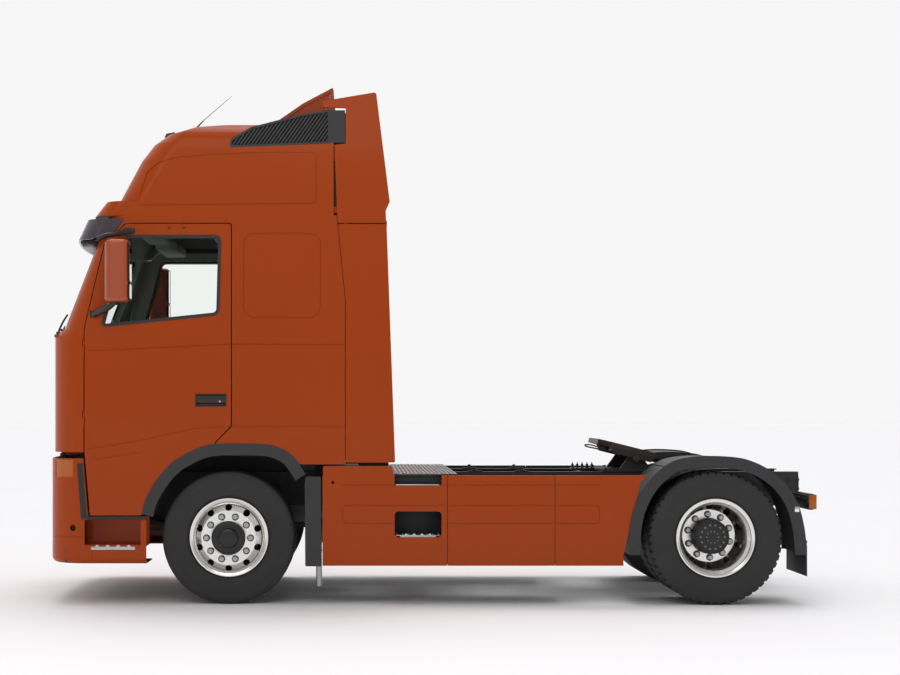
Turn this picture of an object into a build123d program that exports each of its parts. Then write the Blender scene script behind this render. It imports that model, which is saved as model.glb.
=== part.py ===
from build123d import *
import os
from math import cos, radians, sin

# A two-axle cab-over tractor unit with a high-roof sleeper cab.
# Millimetres. +X is forward, +Y is the driver's left, +Z is up.
# The origin lies on the ground, midway along the length and the width.

# Main lengths along the vehicle
wheelbase = 3700
front_overhang = 1420
rear_overhang = 830
front_axle_x = (wheelbase + rear_overhang - front_overhang) / 2
rear_axle_x = front_axle_x - wheelbase
front_end_x = front_axle_x + front_overhang
rear_end_x = rear_axle_x - rear_overhang


def ahead(distance):
    # A station along the vehicle, measured forward from the front axle
    return front_axle_x + distance


def behind(distance):
    # A station measured rearward from the rear axle
    return rear_axle_x - distance


# Wheels and tyres
tyre_diameter = 1014
tyre_width = 312
tread_grooves = (75, 26, -26, -75)
groove_depth = 12
bead_radius = 286
bead_half_width = 117
hub_height = tyre_diameter / 2
front_track = 2028
rear_track = 1837
twin_spacing = 350
disc_offset = twin_spacing / 2
disc_thickness = 22
rim_half_width = 130
rim_flange_radius = 299
rim_well_radius = 264
rim_wall = 12
bead_clearance = 0.3
pilot_radius = 140
hub_barrel_radius = 105
hub_flange_radius = 205
hub_bore_radius = 60
hub_cap_radius = 75
rear_cap_radius = 137
brake_disc_radius = 205
brake_disc_thickness = 45
hand_hole_radius = 26
hand_hole_circle = 232
hand_hole_count = 10

# Axles and steering
kingpin_y = 905
kingpin_radius = 25
running_gap = 0.3
spindle_radius = hub_bore_radius - running_gap
eye_radius = 44
eye_height = 130
yoke_arm = 40
beam_width = 90
beam_height = 110
beam_centre_z = 400
beam_drop_y = 620
rear_tube_radius = 75
diff_radius = 210

# Ladder frame
rail_outer_y = 425
rail_height = 270
rail_top = 985
rail_flange = 90
rail_wall = 8
rail_front = ahead(1180)
rail_bottom = rail_top - rail_height
cross_depth = 90
cross_height = 190
cross_stations = (1130, -560, -1500, -2550, -3240, -4480)

# Cab
cab_half_width = 1245
cab_wall = 60
cab_rear = ahead(-887)
cab_bottom = 1068
panel_bottom = 1160
floor_top = 1455
floor_thickness = 60
roof_joint = 2955
panel_gap = 8
seat_gap = 0.3
glass_thickness = 8

# Plan slices of the cab from the bottom up, columns:
# height, front at the middle, front at the corner, corner radius
cab_sections = (
    (660, 1395, 1325, 280),
    (2045, 1395, 1325, 280),
    (2110, 1340, 1225, 200),
    (2800, 1070, 960, 150),
    (roof_joint, 1012, 902, 150),
)

# Pressed lines and panels in the cab's sides, as stations ahead of the axle and heights
press_width = 8
press_depth = 4
joint_width = 6
waist_line = ((1061, 1927), (-22, 1980), (-880, 1976))
lower_line = ((1085, 1180), (668, 1250), (243, 1341), (-22, 1356))
lower_crease = ((1009, 1107), (637, 1165))
lower_joint = ((-34, 1357), (-880, 1357))
sleeper_panel = ((-114, 2177), (-114, 2821), (-705, 2821), (-705, 2177))
sleeper_panel_corner = 85
roof_panel = ((690, 3029), (-673, 3043), (-673, 3436), (-190, 3436), (144, 3418), (379, 3401),
              (530, 3359), (621, 3284))
roof_panel_corner = 40

# Doors
door_front = ahead(1095)
door_rear = ahead(-30)
door_top = 2900
door_bottom = 674
door_hinge_y = 1238
door_hinge_heights = (1420, 1960)

# High roof
# Plan slices of the roof, columns as for the cab
roof_sections = (
    (roof_joint, 985, 875, 200),
    (3386, 760, 640, 220),
    (3510, 665, 545, 240),
    (3590, 560, 430, 250),
    (3638, 400, 260, 250),
    (3668, 60, -60, 250),
)
roof_top = roof_sections[-1][0]
brow_base = (1110, 1000, 150)
brow_top = (1020, 915, 150)
brow_height = 110
roof_rear = ahead(-800)
roof_shoulder = 190
roof_wall = 30

# Front panel lid and windscreen
lid_half_width = 870
lid_top = 2035
lid_hinge_x = ahead(1393)
lid_hinge_z = lid_top - panel_gap
slot_bottom = 1230
slot_pitch = 75
slot_count = 5
slot_width = 1400
slot_height = 34
screen_half_width = 1070
screen_bottom = 2128
screen_top = 2788
screen_corner = 60

# Air deflectors: front edge of the side panels, top to bottom
deflector_wall = 30
bracket_rear = ahead(-973)
seam_gap = 5
fairing_edge = ((ahead(-806), 3490), (ahead(-828), roof_joint), (ahead(-892), 2310),
                (ahead(-892), 1082))

# Bumper
bumper_bottom = 314
bumper_top = 1113
bumper_wall = 10
bumper_round = 45
apron_z = 514
grille_openings = ((655, 54), (565, 54), (440, 60))
indicator_bay = (145, 260, 132)
bumper_middle = front_overhang
bumper_corner = 1345
bumper_rear = 620
bumper_under_door = 662

# Cab tilt hinge
tilt_x = ahead(1372)
tilt_z = 1125
tilt_pin_radius = 8
tilt_eye_radius = 14
tilt_eye_y = 520
tilt_eye_length = 60

# Side skirts
skirt_half_width = 1240
skirt_wall = 25
skirt_bottom = 299
skirt_top = 985
skirt_front = ahead(-716)
skirt_joint_front = ahead(-1664)
skirt_joint_rear = ahead(-2479)
skirt_joint_gap = 4
step_x = ahead(-1441)
step_z = 613
step_width = 356
step_height = 197
notch_depth = 76
drain_hole = (ahead(-796), 930)
upper_line_z = 911
band_front = ahead(-864)
band_rear = ahead(-2820)
band_top = 760
band_bottom = 616

# Fifth wheel
coupling_x = rear_axle_x + 484
coupling_pivot_z = 1093
plate_tilt = 14.2
plate_front = 315
plate_rear = 560
plate_half_width = 450
plate_thickness = 40
plate_rise = 80
throat_radius = 25.6
throat_half_width = 150
coupling_pin_radius = 20
ear_y = 320
ear_width = 40
stand_plate = 16
stand_y = 370
stand_width = 50

# Cab interior
seat_y = 640
wheel_rim_radius = 225
stub_end = 1204

# Wheel arches
arch_lip = 84
arch_outer_y = 1250
liner_thickness = 8
arch_points = ((648, 690), (618, 795), (508, 977), (350, 1119), (200, 1193), (90, 1213),
               (-290, 1213), (-495, 1117), (-568, 1023))
guard_top = 1129
guard_front_low = 690
guard_front_high = 560
guard_bottom = 380
guard_shoulder = 930
guard_lip = 95
guard_wall = 8
guard_inner_y = 600
guard_outer_y = 1245

os.makedirs("parts", exist_ok=True)


def save(piece, name):
    piece.part.label = name
    export_step(piece.part, "parts/" + name + ".step")


def side_plane(y):
    # A vertical plane along the vehicle whose sketch reads x forward and z up
    return Plane(origin=(0, y, 0), x_dir=(1, 0, 0), z_dir=(0, -1, 0))


def axle_plane(x, y):
    # A plane through a wheel's centre whose sketch reads outward and radius
    return Plane(origin=(x, y, hub_height), x_dir=(0, 1, 0), z_dir=(1, 0, 0))


def plan_section(height, front, corner, radius, inset, half_width, rear):
    # One horizontal slice: straight sides and back, bowed front, round front corners
    with BuildSketch(Plane.XY.offset(height)) as section:
        left = half_width - inset
        with BuildLine():
            Polyline((ahead(corner - inset), left), (rear + inset, left),
                     (rear + inset, -left), (ahead(corner - inset), -left))
            ThreePointArc((ahead(corner - inset), -left), (ahead(front - inset), 0),
                          (ahead(corner - inset), left))
        make_face()
        fillet(section.vertices().group_by(Axis.X)[-1], radius - inset)
    return section.sketch


def cab_block(inset):
    # The whole outer form of the cab below the roof joint, drawn in by an inset
    with BuildPart() as block:
        loft([plan_section(*row, inset, cab_half_width, cab_rear) for row in cab_sections],
             ruled=True)
    return block.part


outer_block = cab_block(0)
inner_block = cab_block(cab_wall)
glass_block = cab_block(glass_thickness)


def arch_face(growth):
    # The front wheel opening in side view, with its edge moved outward by the growth
    points = [(ahead(x), z) for x, z in arch_points]
    with BuildSketch() as face:
        with BuildLine():
            FilletPolyline((points[0][0], 400), *points, (points[-1][0], 400),
                           radius=60, close=True)
        make_face()
        offset(amount=growth, kind=Kind.INTERSECTION, mode=Mode.REPLACE)
    return face.sketch


def door_outline(gap):
    with BuildSketch(side_plane(0)) as outline:
        with BuildLine():
            FilletPolyline((door_front, 2100), (ahead(928), 2810), (ahead(862), 2818),
                           (ahead(775), door_top), (door_rear, door_top),
                           (door_rear, 1356), (ahead(92), 1232), (ahead(300), door_bottom),
                           (ahead(1053), door_bottom), (door_front, 1165), radius=25, close=True)
        make_face()
        offset(amount=-gap, kind=Kind.INTERSECTION, mode=Mode.REPLACE)
        add(arch_face(panel_gap), mode=Mode.SUBTRACT)
    return outline.sketch


def pressed_line(points, width):
    # A straight-sided line along the cab's side, as a sketch
    with BuildSketch(side_plane(0)) as line:
        with BuildLine():
            Polyline(*[(ahead(x), z) for x, z in points])
        trace(line_width=width)
    return line.sketch


def panel_outline(points, corner, width):
    # The closed edge of a pressed panel, as a ring of the given width
    with BuildSketch(side_plane(0)) as ring:
        with BuildLine():
            FilletPolyline(*[(ahead(x), z) for x, z in points], radius=corner, close=True)
        make_face()
        offset(amount=-width, kind=Kind.INTERSECTION, mode=Mode.SUBTRACT)
    return ring.sketch


def side_presses():
    # What is pressed into the cab's skin, cut to an even depth
    with BuildPart() as presses:
        with BuildSketch(side_plane(0)):
            for points, width in ((waist_line, press_width), (lower_line, press_width),
                                  (lower_crease, press_width), (lower_joint, joint_width)):
                add(pressed_line(points, width))
            add(panel_outline(sleeper_panel, sleeper_panel_corner, press_width))
        extrude(amount=cab_half_width + 10, both=True)
        add(outer_block, mode=Mode.INTERSECT)
        add(cab_block(press_depth), mode=Mode.SUBTRACT)
    return presses.part


def window_outline():
    with BuildSketch(side_plane(0)) as outline:
        with BuildLine():
            FilletPolyline((ahead(962), 2110), (ahead(775), 2802), (ahead(54), 2802),
                           (ahead(70), 2203), radius=45, close=True)
        make_face()
    return outline.sketch


def screen_cutter():
    with BuildPart() as cutter:
        with BuildSketch(Plane.YZ.offset(ahead(800))):
            with Locations((0, (screen_bottom + screen_top) / 2)):
                RectangleRounded(2 * screen_half_width, screen_top - screen_bottom, screen_corner)
        extrude(amount=700)
    return cutter.part


presses = side_presses()

# Cab shell: side walls, rear wall, floor and pillars, with every opening cut
with BuildPart() as cab_shell:
    add(outer_block)
    add(inner_block, mode=Mode.SUBTRACT)
    # Everything below the lower edge of the cab
    with BuildSketch(side_plane(0)):
        with BuildLine():
            Polyline((cab_rear - 10, 600), (cab_rear - 10, cab_bottom),
                     (ahead(1040), cab_bottom), (ahead(1040), panel_bottom),
                     (front_end_x + 10, panel_bottom), (front_end_x + 10, 600), close=True)
        make_face()
    extrude(amount=cab_half_width + 10, both=True, mode=Mode.SUBTRACT)
    # Wheel arches and door openings
    with BuildSketch(side_plane(0)):
        add(arch_face(seat_gap))
    extrude(amount=cab_half_width + 10, both=True, mode=Mode.SUBTRACT)
    with BuildSketch(side_plane(0)):
        add(door_outline(0))
        add(arch_face(0))
    extrude(amount=cab_half_width + 10, both=True, mode=Mode.SUBTRACT)
    # Floor, bulkhead behind the front panel, and the sill that carries the tilt hinge
    with BuildSketch(Plane.XY.offset(floor_top)):
        with Locations(((ahead(1180) + cab_rear + cab_wall) / 2, 0)):
            Rectangle(ahead(1180) - cab_rear - cab_wall, 2 * (cab_half_width - cab_wall - panel_gap))
        with Locations(((door_rear + cab_rear) / 2, 0)):
            Rectangle(door_rear - cab_rear, 2 * cab_half_width - cab_wall)
    extrude(amount=-floor_thickness)
    with Locations((ahead(1255), 0, 2048)):
        Box(170, 2 * (cab_half_width - cab_wall) - 160, 22)
    with Locations((ahead(1190), 0, (floor_top + 2060) / 2)):
        Box(40, 2 * (cab_half_width - cab_wall) - 160, 2060 - floor_top)
    with Locations((ahead(1195), 0, (panel_bottom + floor_top) / 2)):
        Box(110, 2 * (cab_half_width - cab_wall) - 160, floor_top - panel_bottom)
    add(presses, mode=Mode.SUBTRACT)
    # Front panel opening, windscreen opening
    with Locations((ahead(1330), 0, (panel_bottom - 50 + lid_top) / 2)):
        Box(140, 2 * lid_half_width, lid_top - panel_bottom + 50, mode=Mode.SUBTRACT)
    add(screen_cutter(), mode=Mode.SUBTRACT)
    # Pins of the front panel's hinge on lugs above it
    for side in (1, -1):
        with Locations((lid_hinge_x - 4, side * 180, lid_hinge_z + 8)):
            Box(8, 38, 20)
        with Locations(Location((lid_hinge_x, side * 180, lid_hinge_z), (90, 0, 0))):
            Cylinder(5, 38)
        with Locations(Location((lid_hinge_x, side * 200, lid_hinge_z), (90, 0, 0))):
            Cylinder(2, 78)
    # The rear edge of each side follows the air deflector's slanting front edge
    with BuildSketch(side_plane(0)):
        with BuildLine():
            Polyline((cab_rear - 10, 2310), (fairing_edge[2][0] + seam_gap, 2310),
                     (fairing_edge[1][0] + seam_gap, roof_joint + 1), (cab_rear - 10, roof_joint + 1),
                     close=True)
        make_face()
    extrude(amount=cab_half_width + 10, both=True, mode=Mode.SUBTRACT)
    with Locations(((cab_rear + cab_rear + cab_wall) / 2, 0, (2300 + roof_joint) / 2)):
        Box(cab_wall, 2 * (cab_half_width - deflector_wall - seam_gap), roof_joint - 2300)
    with Locations((cab_rear + 90, 0, (2300 + roof_joint) / 2)):
        Box(80, 2 * (cab_half_width - deflector_wall - seam_gap), roof_joint - 2300)
    with Locations((cab_rear + 95, 0, (2300 + roof_joint) / 2)):
        Box(90, 2 * (cab_half_width - cab_wall), roof_joint - 2290, mode=Mode.SUBTRACT)
    # Lower halves of the door hinges with their pins, in pockets
    for side in (1, -1):
        for hinge_z in door_hinge_heights:
            with Locations((door_front, side * door_hinge_y, hinge_z + 25)):
                Cylinder(12, 54, mode=Mode.SUBTRACT)
            with Locations((door_front, side * door_hinge_y, hinge_z - 25)):
                Cylinder(6, 49)
            with Locations((door_front, side * door_hinge_y, hinge_z)):
                Cylinder(3, 96)
    # Entry step wells under the floor behind each door
    for side in (1, -1):
        with Locations((ahead(825), side * 1025, (floor_top - floor_thickness + 705) / 2)):
            Box(450, 290, floor_top - floor_thickness - 705)
        with Locations((ahead(825), side * 1045, (floor_top - floor_thickness + 715) / 2 + 10)):
            Box(430, 290, floor_top - floor_thickness - 715, mode=Mode.SUBTRACT)
        for tread_z in (715, 1075):
            with Locations((ahead(825), side * 1020, tread_z)):
                Box(440, 280, 12)
    # Tilt hinge arms and eyes
    for side in (1, -1):
        with Locations((ahead(1290), side * tilt_eye_y, panel_bottom - 22)):
            Box(176, tilt_eye_length, 24)
        with Locations((ahead(1226), side * tilt_eye_y, panel_bottom)):
            Box(48, tilt_eye_length, 60)
        with Locations(Location((tilt_x, side * tilt_eye_y, tilt_z), (90, 0, 0))):
            Cylinder(tilt_eye_radius, tilt_eye_length)
        with Locations(Location((tilt_x, side * tilt_eye_y, tilt_z), (90, 0, 0))):
            Cylinder(tilt_pin_radius + running_gap, tilt_eye_length + 2, mode=Mode.SUBTRACT)
save(cab_shell, "cab_shell")


# Glass: thin skins that fill the openings
with BuildPart() as windscreen:
    add(outer_block)
    add(glass_block, mode=Mode.SUBTRACT)
    add(screen_cutter(), mode=Mode.INTERSECT)
save(windscreen, "windscreen")

# Front panel: a lid hinged along its top edge, with slots across it
with BuildPart() as front_panel:
    add(outer_block)
    add(cab_block(40), mode=Mode.SUBTRACT)
    with Locations((ahead(1300), 0, (panel_bottom + lid_top - panel_gap) / 2)):
        Box(300, 2 * (lid_half_width - panel_gap), lid_top - panel_gap - panel_bottom,
            mode=Mode.INTERSECT)
    with Locations(*[(ahead(1330), 0, slot_bottom + row * slot_pitch) for row in range(slot_count)]):
        Box(300, slot_width, slot_height, mode=Mode.SUBTRACT)
    for side in (1, -1):
        with Locations(Location((lid_hinge_x, side * 220, lid_hinge_z), (90, 0, 0))):
            Cylinder(5, 40)
            Cylinder(2 + running_gap, 50, mode=Mode.SUBTRACT)
        with Locations(Location((lid_hinge_x, side * 180, lid_hinge_z), (90, 0, 0))):
            Cylinder(11, 41, mode=Mode.SUBTRACT)
save(front_panel, "front_panel")

# Doors, their glass and mirrors
with BuildPart() as door_left:
    add(outer_block)
    add(inner_block, mode=Mode.SUBTRACT)
    with BuildSketch(side_plane(1000)):
        add(door_outline(panel_gap))
    extrude(amount=-300, mode=Mode.INTERSECT)
    with BuildSketch(side_plane(1000)):
        add(window_outline())
    extrude(amount=-300, mode=Mode.SUBTRACT)
    add(presses, mode=Mode.SUBTRACT)
    # Handle recess with the pull bar across it
    with Locations((ahead(130), cab_half_width - 12, 1555)):
        Box(235, 60, 97, mode=Mode.SUBTRACT)
    with Locations((ahead(130), cab_half_width - 12, 1565)):
        Box(235, 20, 50)
    # Upper halves of the hinges, in pockets
    for hinge_z in door_hinge_heights:
        with Locations((door_front, door_hinge_y, hinge_z - 25)):
            Cylinder(12, 52, mode=Mode.SUBTRACT)
        with Locations((door_front - 8, door_hinge_y - 4.5, hinge_z + 25)):
            Box(24, 7, 49)
        with Locations((door_front, door_hinge_y, hinge_z + 25)):
            Cylinder(6, 49)
            Cylinder(3 + running_gap, 60, mode=Mode.SUBTRACT)
with BuildPart() as glass_left:
    add(outer_block)
    add(glass_block, mode=Mode.SUBTRACT)
    with BuildSketch(side_plane(1000)):
        add(window_outline())
    extrude(amount=-300, mode=Mode.INTERSECT)
with BuildPart() as mirror_left:
    with BuildSketch(Plane.XY.offset(2290)):
        with Locations((ahead(817), 1385)):
            RectangleRounded(187, 190, 60)
    extrude(amount=465)
    fillet(mirror_left.edges().group_by(Axis.Z)[0], 25)
    fillet(mirror_left.edges().group_by(Axis.Z)[-1], 25)
    # Arms to the door's frame above and below
    for start, end in ((Vector(ahead(830), 1360, 2700), Vector(ahead(880), 1160, 2755)),
                       (Vector(ahead(850), 1360, 2300), Vector(ahead(1015), 1190, 2205))):
        with BuildSketch(Plane(origin=start, z_dir=end - start)):
            Circle(18)
        extrude(amount=(end - start).length)
    add(door_left.part, mode=Mode.SUBTRACT)
    add(inner_block, mode=Mode.SUBTRACT)
for piece, name in ((door_left, "door"), (glass_left, "glass"), (mirror_left, "mirror")):
    save(piece, name + "_left")
    with BuildPart() as other_side:
        mirror(piece.part, about=Plane.XZ)
    save(other_side, name + "_right")


# High roof: a hollow cap with round shoulders, and a brow over the windscreen
def roof_block(inset, base):
    # The roof's form, drawn in by an inset, down to a base height
    with BuildPart() as block:
        rows = [(height - inset, *row) for height, *row in roof_sections]
        loft([plan_section(base, *rows[0][1:], inset, cab_half_width, roof_rear)] +
             [plan_section(*row, inset, cab_half_width, roof_rear) for row in rows[1:]], ruled=True)
        with BuildSketch(Plane.YZ.offset(roof_rear)):
            with BuildLine():
                half = cab_half_width - inset
                top = roof_sections[-1][0] - inset
                Polyline((half, top - roof_shoulder + inset), (half, base), (-half, base),
                         (-half, top - roof_shoulder + inset))
                RadiusArc((-half, top - roof_shoulder + inset),
                          (-half + roof_shoulder - inset, top), roof_shoulder - inset)
                Line((-half + roof_shoulder - inset, top), (half - roof_shoulder + inset, top))
                RadiusArc((half - roof_shoulder + inset, top),
                          (half, top - roof_shoulder + inset), roof_shoulder - inset)
            make_face()
        extrude(amount=2200, mode=Mode.INTERSECT)
    return block.part


def louvre_outline(growth):
    with BuildSketch(side_plane(0)) as outline:
        with BuildLine():
            FilletPolyline((ahead(-8), 3470), (ahead(-20), 3535), (ahead(-174), 3625),
                           (ahead(-553), 3722), (ahead(-773), 3756), (ahead(-773), 3500),
                           radius=(20, 45, 80, 200, 5, 5), close=True)
        make_face()
        if growth:
            offset(amount=growth, kind=Kind.INTERSECTION, mode=Mode.REPLACE)
    return outline.sketch


with BuildPart() as roof_edge:
    with BuildSketch(side_plane(0)):
        add(panel_outline(roof_panel, roof_panel_corner, press_width))
    extrude(amount=cab_half_width + 10, both=True)
    add(roof_block(0, roof_joint), mode=Mode.INTERSECT)
    add(roof_block(press_depth, roof_joint), mode=Mode.SUBTRACT)
roof_presses = roof_edge.part

with BuildPart() as high_roof:
    add(roof_block(0, roof_joint))
    loft([plan_section(roof_joint, *brow_base, 0, cab_half_width, ahead(300)),
          plan_section(roof_joint + brow_height, *brow_top, 0, cab_half_width, ahead(300))],
         ruled=True)
    add(roof_block(roof_wall, roof_joint - 1), mode=Mode.SUBTRACT)
    for side in (1, -1):
        with BuildSketch(side_plane(side * cab_half_width)):
            add(louvre_outline(seat_gap))
            with Locations((ahead(-800), 3630)):
                Rectangle(60, 246)
        extrude(amount=side * 61, mode=Mode.SUBTRACT)
    add(roof_presses, mode=Mode.SUBTRACT)
save(high_roof, "high_roof")

# Black louvred panels set into the roof shoulders
with BuildPart() as roof_louvres:
    with BuildSketch(side_plane(cab_half_width)):
        add(louvre_outline(0))
        offset(amount=-16, kind=Kind.INTERSECTION, mode=Mode.SUBTRACT)
    extrude(amount=40)
    with BuildSketch(side_plane(cab_half_width - 40)):
        add(louvre_outline(0))
    extrude(amount=14)
    with BuildSketch(side_plane(cab_half_width - 8)):
        with Locations(*[(ahead(-30 - 27.5 * n), 3600) for n in range(30)]):
            Rectangle(13, 420, rotation=35)
        add(louvre_outline(0), mode=Mode.INTERSECT)
    extrude(amount=34)
    with Locations((ahead(-830), cab_half_width - 30, 3630)):
        Box(114, 60, 245)
    mirror(about=Plane.XZ)
save(roof_louvres, "roof_louvres")

# Air deflectors: side panels in two pieces behind the cab, and the roof flap
with BuildPart() as air_deflectors:
    with BuildSketch(side_plane(cab_half_width)):
        with BuildLine():
            FilletPolyline((ahead(-892), 3500), (ahead(-892), 3770), (ahead(-720), 3775),
                           (ahead(-719), 3822), (ahead(-1107), 3887), (ahead(-1124), 3880),
                           (ahead(-1226), 3060), (ahead(-1195), 2990), (ahead(-1200), 2898),
                           (ahead(-833), 2898), fairing_edge[1], fairing_edge[0], radius=4,
                           close=True)
        make_face()
    extrude(amount=deflector_wall)
    with BuildSketch(side_plane(cab_half_width)):
        with BuildLine():
            FilletPolyline((ahead(-834), 2890), fairing_edge[2], fairing_edge[3],
                           (ahead(-1267), 1082), (ahead(-1202), 2890), radius=12, close=True)
        make_face()
    extrude(amount=deflector_wall)
    # Brackets to the cab's rear wall
    for bracket_z, wall_x in ((1300, cab_rear), (1900, cab_rear), (2500, cab_rear),
                              (3000, roof_rear), (3400, roof_rear)):
        with Locations(((bracket_rear + wall_x) / 2, cab_half_width - 50, bracket_z)):
            Box(wall_x - bracket_rear, 60, 50)
    mirror(about=Plane.XZ)
    # Roof flap on two cheeks
    with BuildSketch(side_plane(0)):
        with BuildLine():
            FilletPolyline((ahead(-330), roof_top + 2), (ahead(-560), 3830), (ahead(-790), 3952),
                           (ahead(-800), 3932), (ahead(-570), 3808), (ahead(-370), roof_top + 2),
                           radius=4, close=True)
        make_face()
    extrude(amount=1080, both=True)
    for side in (1, -1):
        with BuildSketch(side_plane(side * 1070)):
            with BuildLine():
                Polyline((ahead(-340), roof_top + 0.3), (ahead(-560), 3822), (ahead(-785), 3942),
                         (ahead(-700), roof_top + 0.3), close=True)
            make_face()
        extrude(amount=side * 12)
save(air_deflectors, "air_deflectors")

# Sun visor: a bowed band ahead of the windscreen's top
with BuildPart() as sun_visor:
    visor_rows = ((2775, 1240, 1128, 160), (2930, 1170, 1056, 160))
    loft([plan_section(*row, 0, cab_half_width + 6, ahead(790)) for row in visor_rows], ruled=True)
    loft([plan_section(row[0] - 1, row[1], row[2], row[3], 12, cab_half_width + 6, ahead(700))
          for row in visor_rows[:1]] +
         [plan_section(row[0] + 1, row[1], row[2], row[3], 12, cab_half_width + 6, ahead(700))
          for row in visor_rows[1:]], ruled=True, mode=Mode.SUBTRACT)
    for side in (1, -1):
        with Locations((ahead(1010), side * 700, 2925)):
            Box(250, 30, 16)
    # Its wings taper to the rear and stay clear of the doors
    with BuildSketch(side_plane(0)):
        with BuildLine():
            Polyline((ahead(1400), 2700), (ahead(1101), 2757), (ahead(857), 2837),
                     (ahead(773), 2950), (ahead(773), 3000), (ahead(1400), 3000), close=True)
        make_face()
        add(door_outline(-panel_gap), mode=Mode.SUBTRACT)
    extrude(amount=cab_half_width + 10, both=True, mode=Mode.INTERSECT)
    add(outer_block, mode=Mode.SUBTRACT)
save(sun_visor, "sun_visor")

# Dark arch trims and liners under the cab
with BuildPart() as arch_flares:
    with BuildSketch(side_plane(arch_outer_y)):
        add(arch_face(0))
        add(arch_face(-arch_lip), mode=Mode.SUBTRACT)
    extrude(amount=75)
    with BuildSketch(side_plane(arch_outer_y - 70)):
        add(arch_face(-arch_lip + liner_thickness))
        add(arch_face(-arch_lip), mode=Mode.SUBTRACT)
    extrude(amount=470)
    arch_front_bottom = arch_points[0][1]
    arch_rear_bottom = arch_points[-1][1]
    with Locations((ahead(0), arch_outer_y, arch_front_bottom - 250)):
        Box(2000, 1400, 500, mode=Mode.SUBTRACT)
    with Locations((ahead(-500), arch_outer_y, arch_rear_bottom - 500)):
        Box(1000, 1400, 1000, mode=Mode.SUBTRACT)
    mirror(about=Plane.XZ)
save(arch_flares, "arch_flares")

# Wipers parked along the windscreen's base, each on its spindle
with BuildPart() as wipers:
    wiper_row = (1352, 1245, 200)
    with BuildSketch(Plane.XY.offset(2092)):
        add(plan_section(0, *wiper_row, -26, cab_half_width, cab_rear))
        add(plan_section(0, *wiper_row, -10, cab_half_width, cab_rear), mode=Mode.SUBTRACT)
    extrude(amount=12)
    with Locations(*[(ahead(1330), y, 2098) for y in (-620, 80, 780)]):
        Box(200, 560, 40, mode=Mode.INTERSECT)
    for y in (-820, -120, 580):
        bow = (1395 - 1325) * (y / cab_half_width) ** 2
        with Locations((ahead(1366 - bow), y, 2070)):
            Cylinder(12, 60)
    add(cab_shell.part, mode=Mode.SUBTRACT)
save(wipers, "wipers")

# Roof marker lamp, twin horns and the aerial
with BuildPart() as roof_fittings:
    for y in (-800, 0, 800):
        with Locations((ahead(400), y, roof_top - 14)):
            Box(92, 110, 60)
    with Locations((ahead(255), 850, roof_top - 3)):
        Cylinder(16, 36)
    with BuildSketch(Plane(origin=(ahead(255), 850, roof_top), z_dir=(-0.72, 0, 0.69))):
        Circle(6)
    extrude(amount=330, taper=0.6)
    add(high_roof.part, mode=Mode.SUBTRACT)
save(roof_fittings, "roof_fittings")

# Seats, bunk and dashboard
with BuildPart() as seats:
    for y in (seat_y, -seat_y):
        with Locations((ahead(330), y, floor_top + 150)):
            Box(420, 380, 300)
        with Locations((ahead(340), y, floor_top + 365)):
            Box(500, 500, 130)
        with BuildSketch(side_plane(y - 240)):
            with BuildLine():
                FilletPolyline((ahead(140), floor_top + 430), (ahead(20), floor_top + 1050),
                               (ahead(-80), floor_top + 1050), (ahead(20), floor_top + 400),
                               radius=25, close=True)
            make_face()
        extrude(amount=-480)
        with Locations((ahead(-40), y, floor_top + 1140)):
            Box(90, 280, 190)
save(seats, "seats")

with BuildPart() as bunk:
    with Locations((cab_rear + cab_wall + 355, 0, floor_top + 500)):
        Box(700, 2 * (cab_half_width - cab_wall) - 20, 110)
    for y in (-800, 800):
        with Locations((cab_rear + cab_wall + 350, y, floor_top + 222.5)):
            Box(640, 500, 445)
save(bunk, "bunk")

with BuildPart() as dashboard:
    with BuildSketch(side_plane(1060)):
        with BuildLine():
            FilletPolyline((ahead(1168), floor_top + seat_gap), (ahead(1168), 2035), (ahead(1080), 2060),
                           (ahead(860), 2030), (ahead(800), 1930), (ahead(830), 1800),
                           (ahead(1060), 1720), (ahead(1080), floor_top + seat_gap),
                           radius=30, close=True)
        make_face()
    extrude(amount=2120)
    with BuildSketch(Plane(origin=(ahead(850), seat_y, 1900), z_dir=(-0.5, 0, 0.87))):
        Circle(28)
    extrude(amount=190)
    with BuildSketch(Plane(origin=(ahead(755), seat_y, 2065), z_dir=(-0.5, 0, 0.87))):
        Rectangle(430, 34)
        Rectangle(34, 430)
    extrude(amount=14, both=True)
    with Locations(Location(Plane(origin=(ahead(755), seat_y, 2065), z_dir=(-0.5, 0, 0.87)))):
        Torus(wheel_rim_radius, 16)
save(dashboard, "dashboard")

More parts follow.
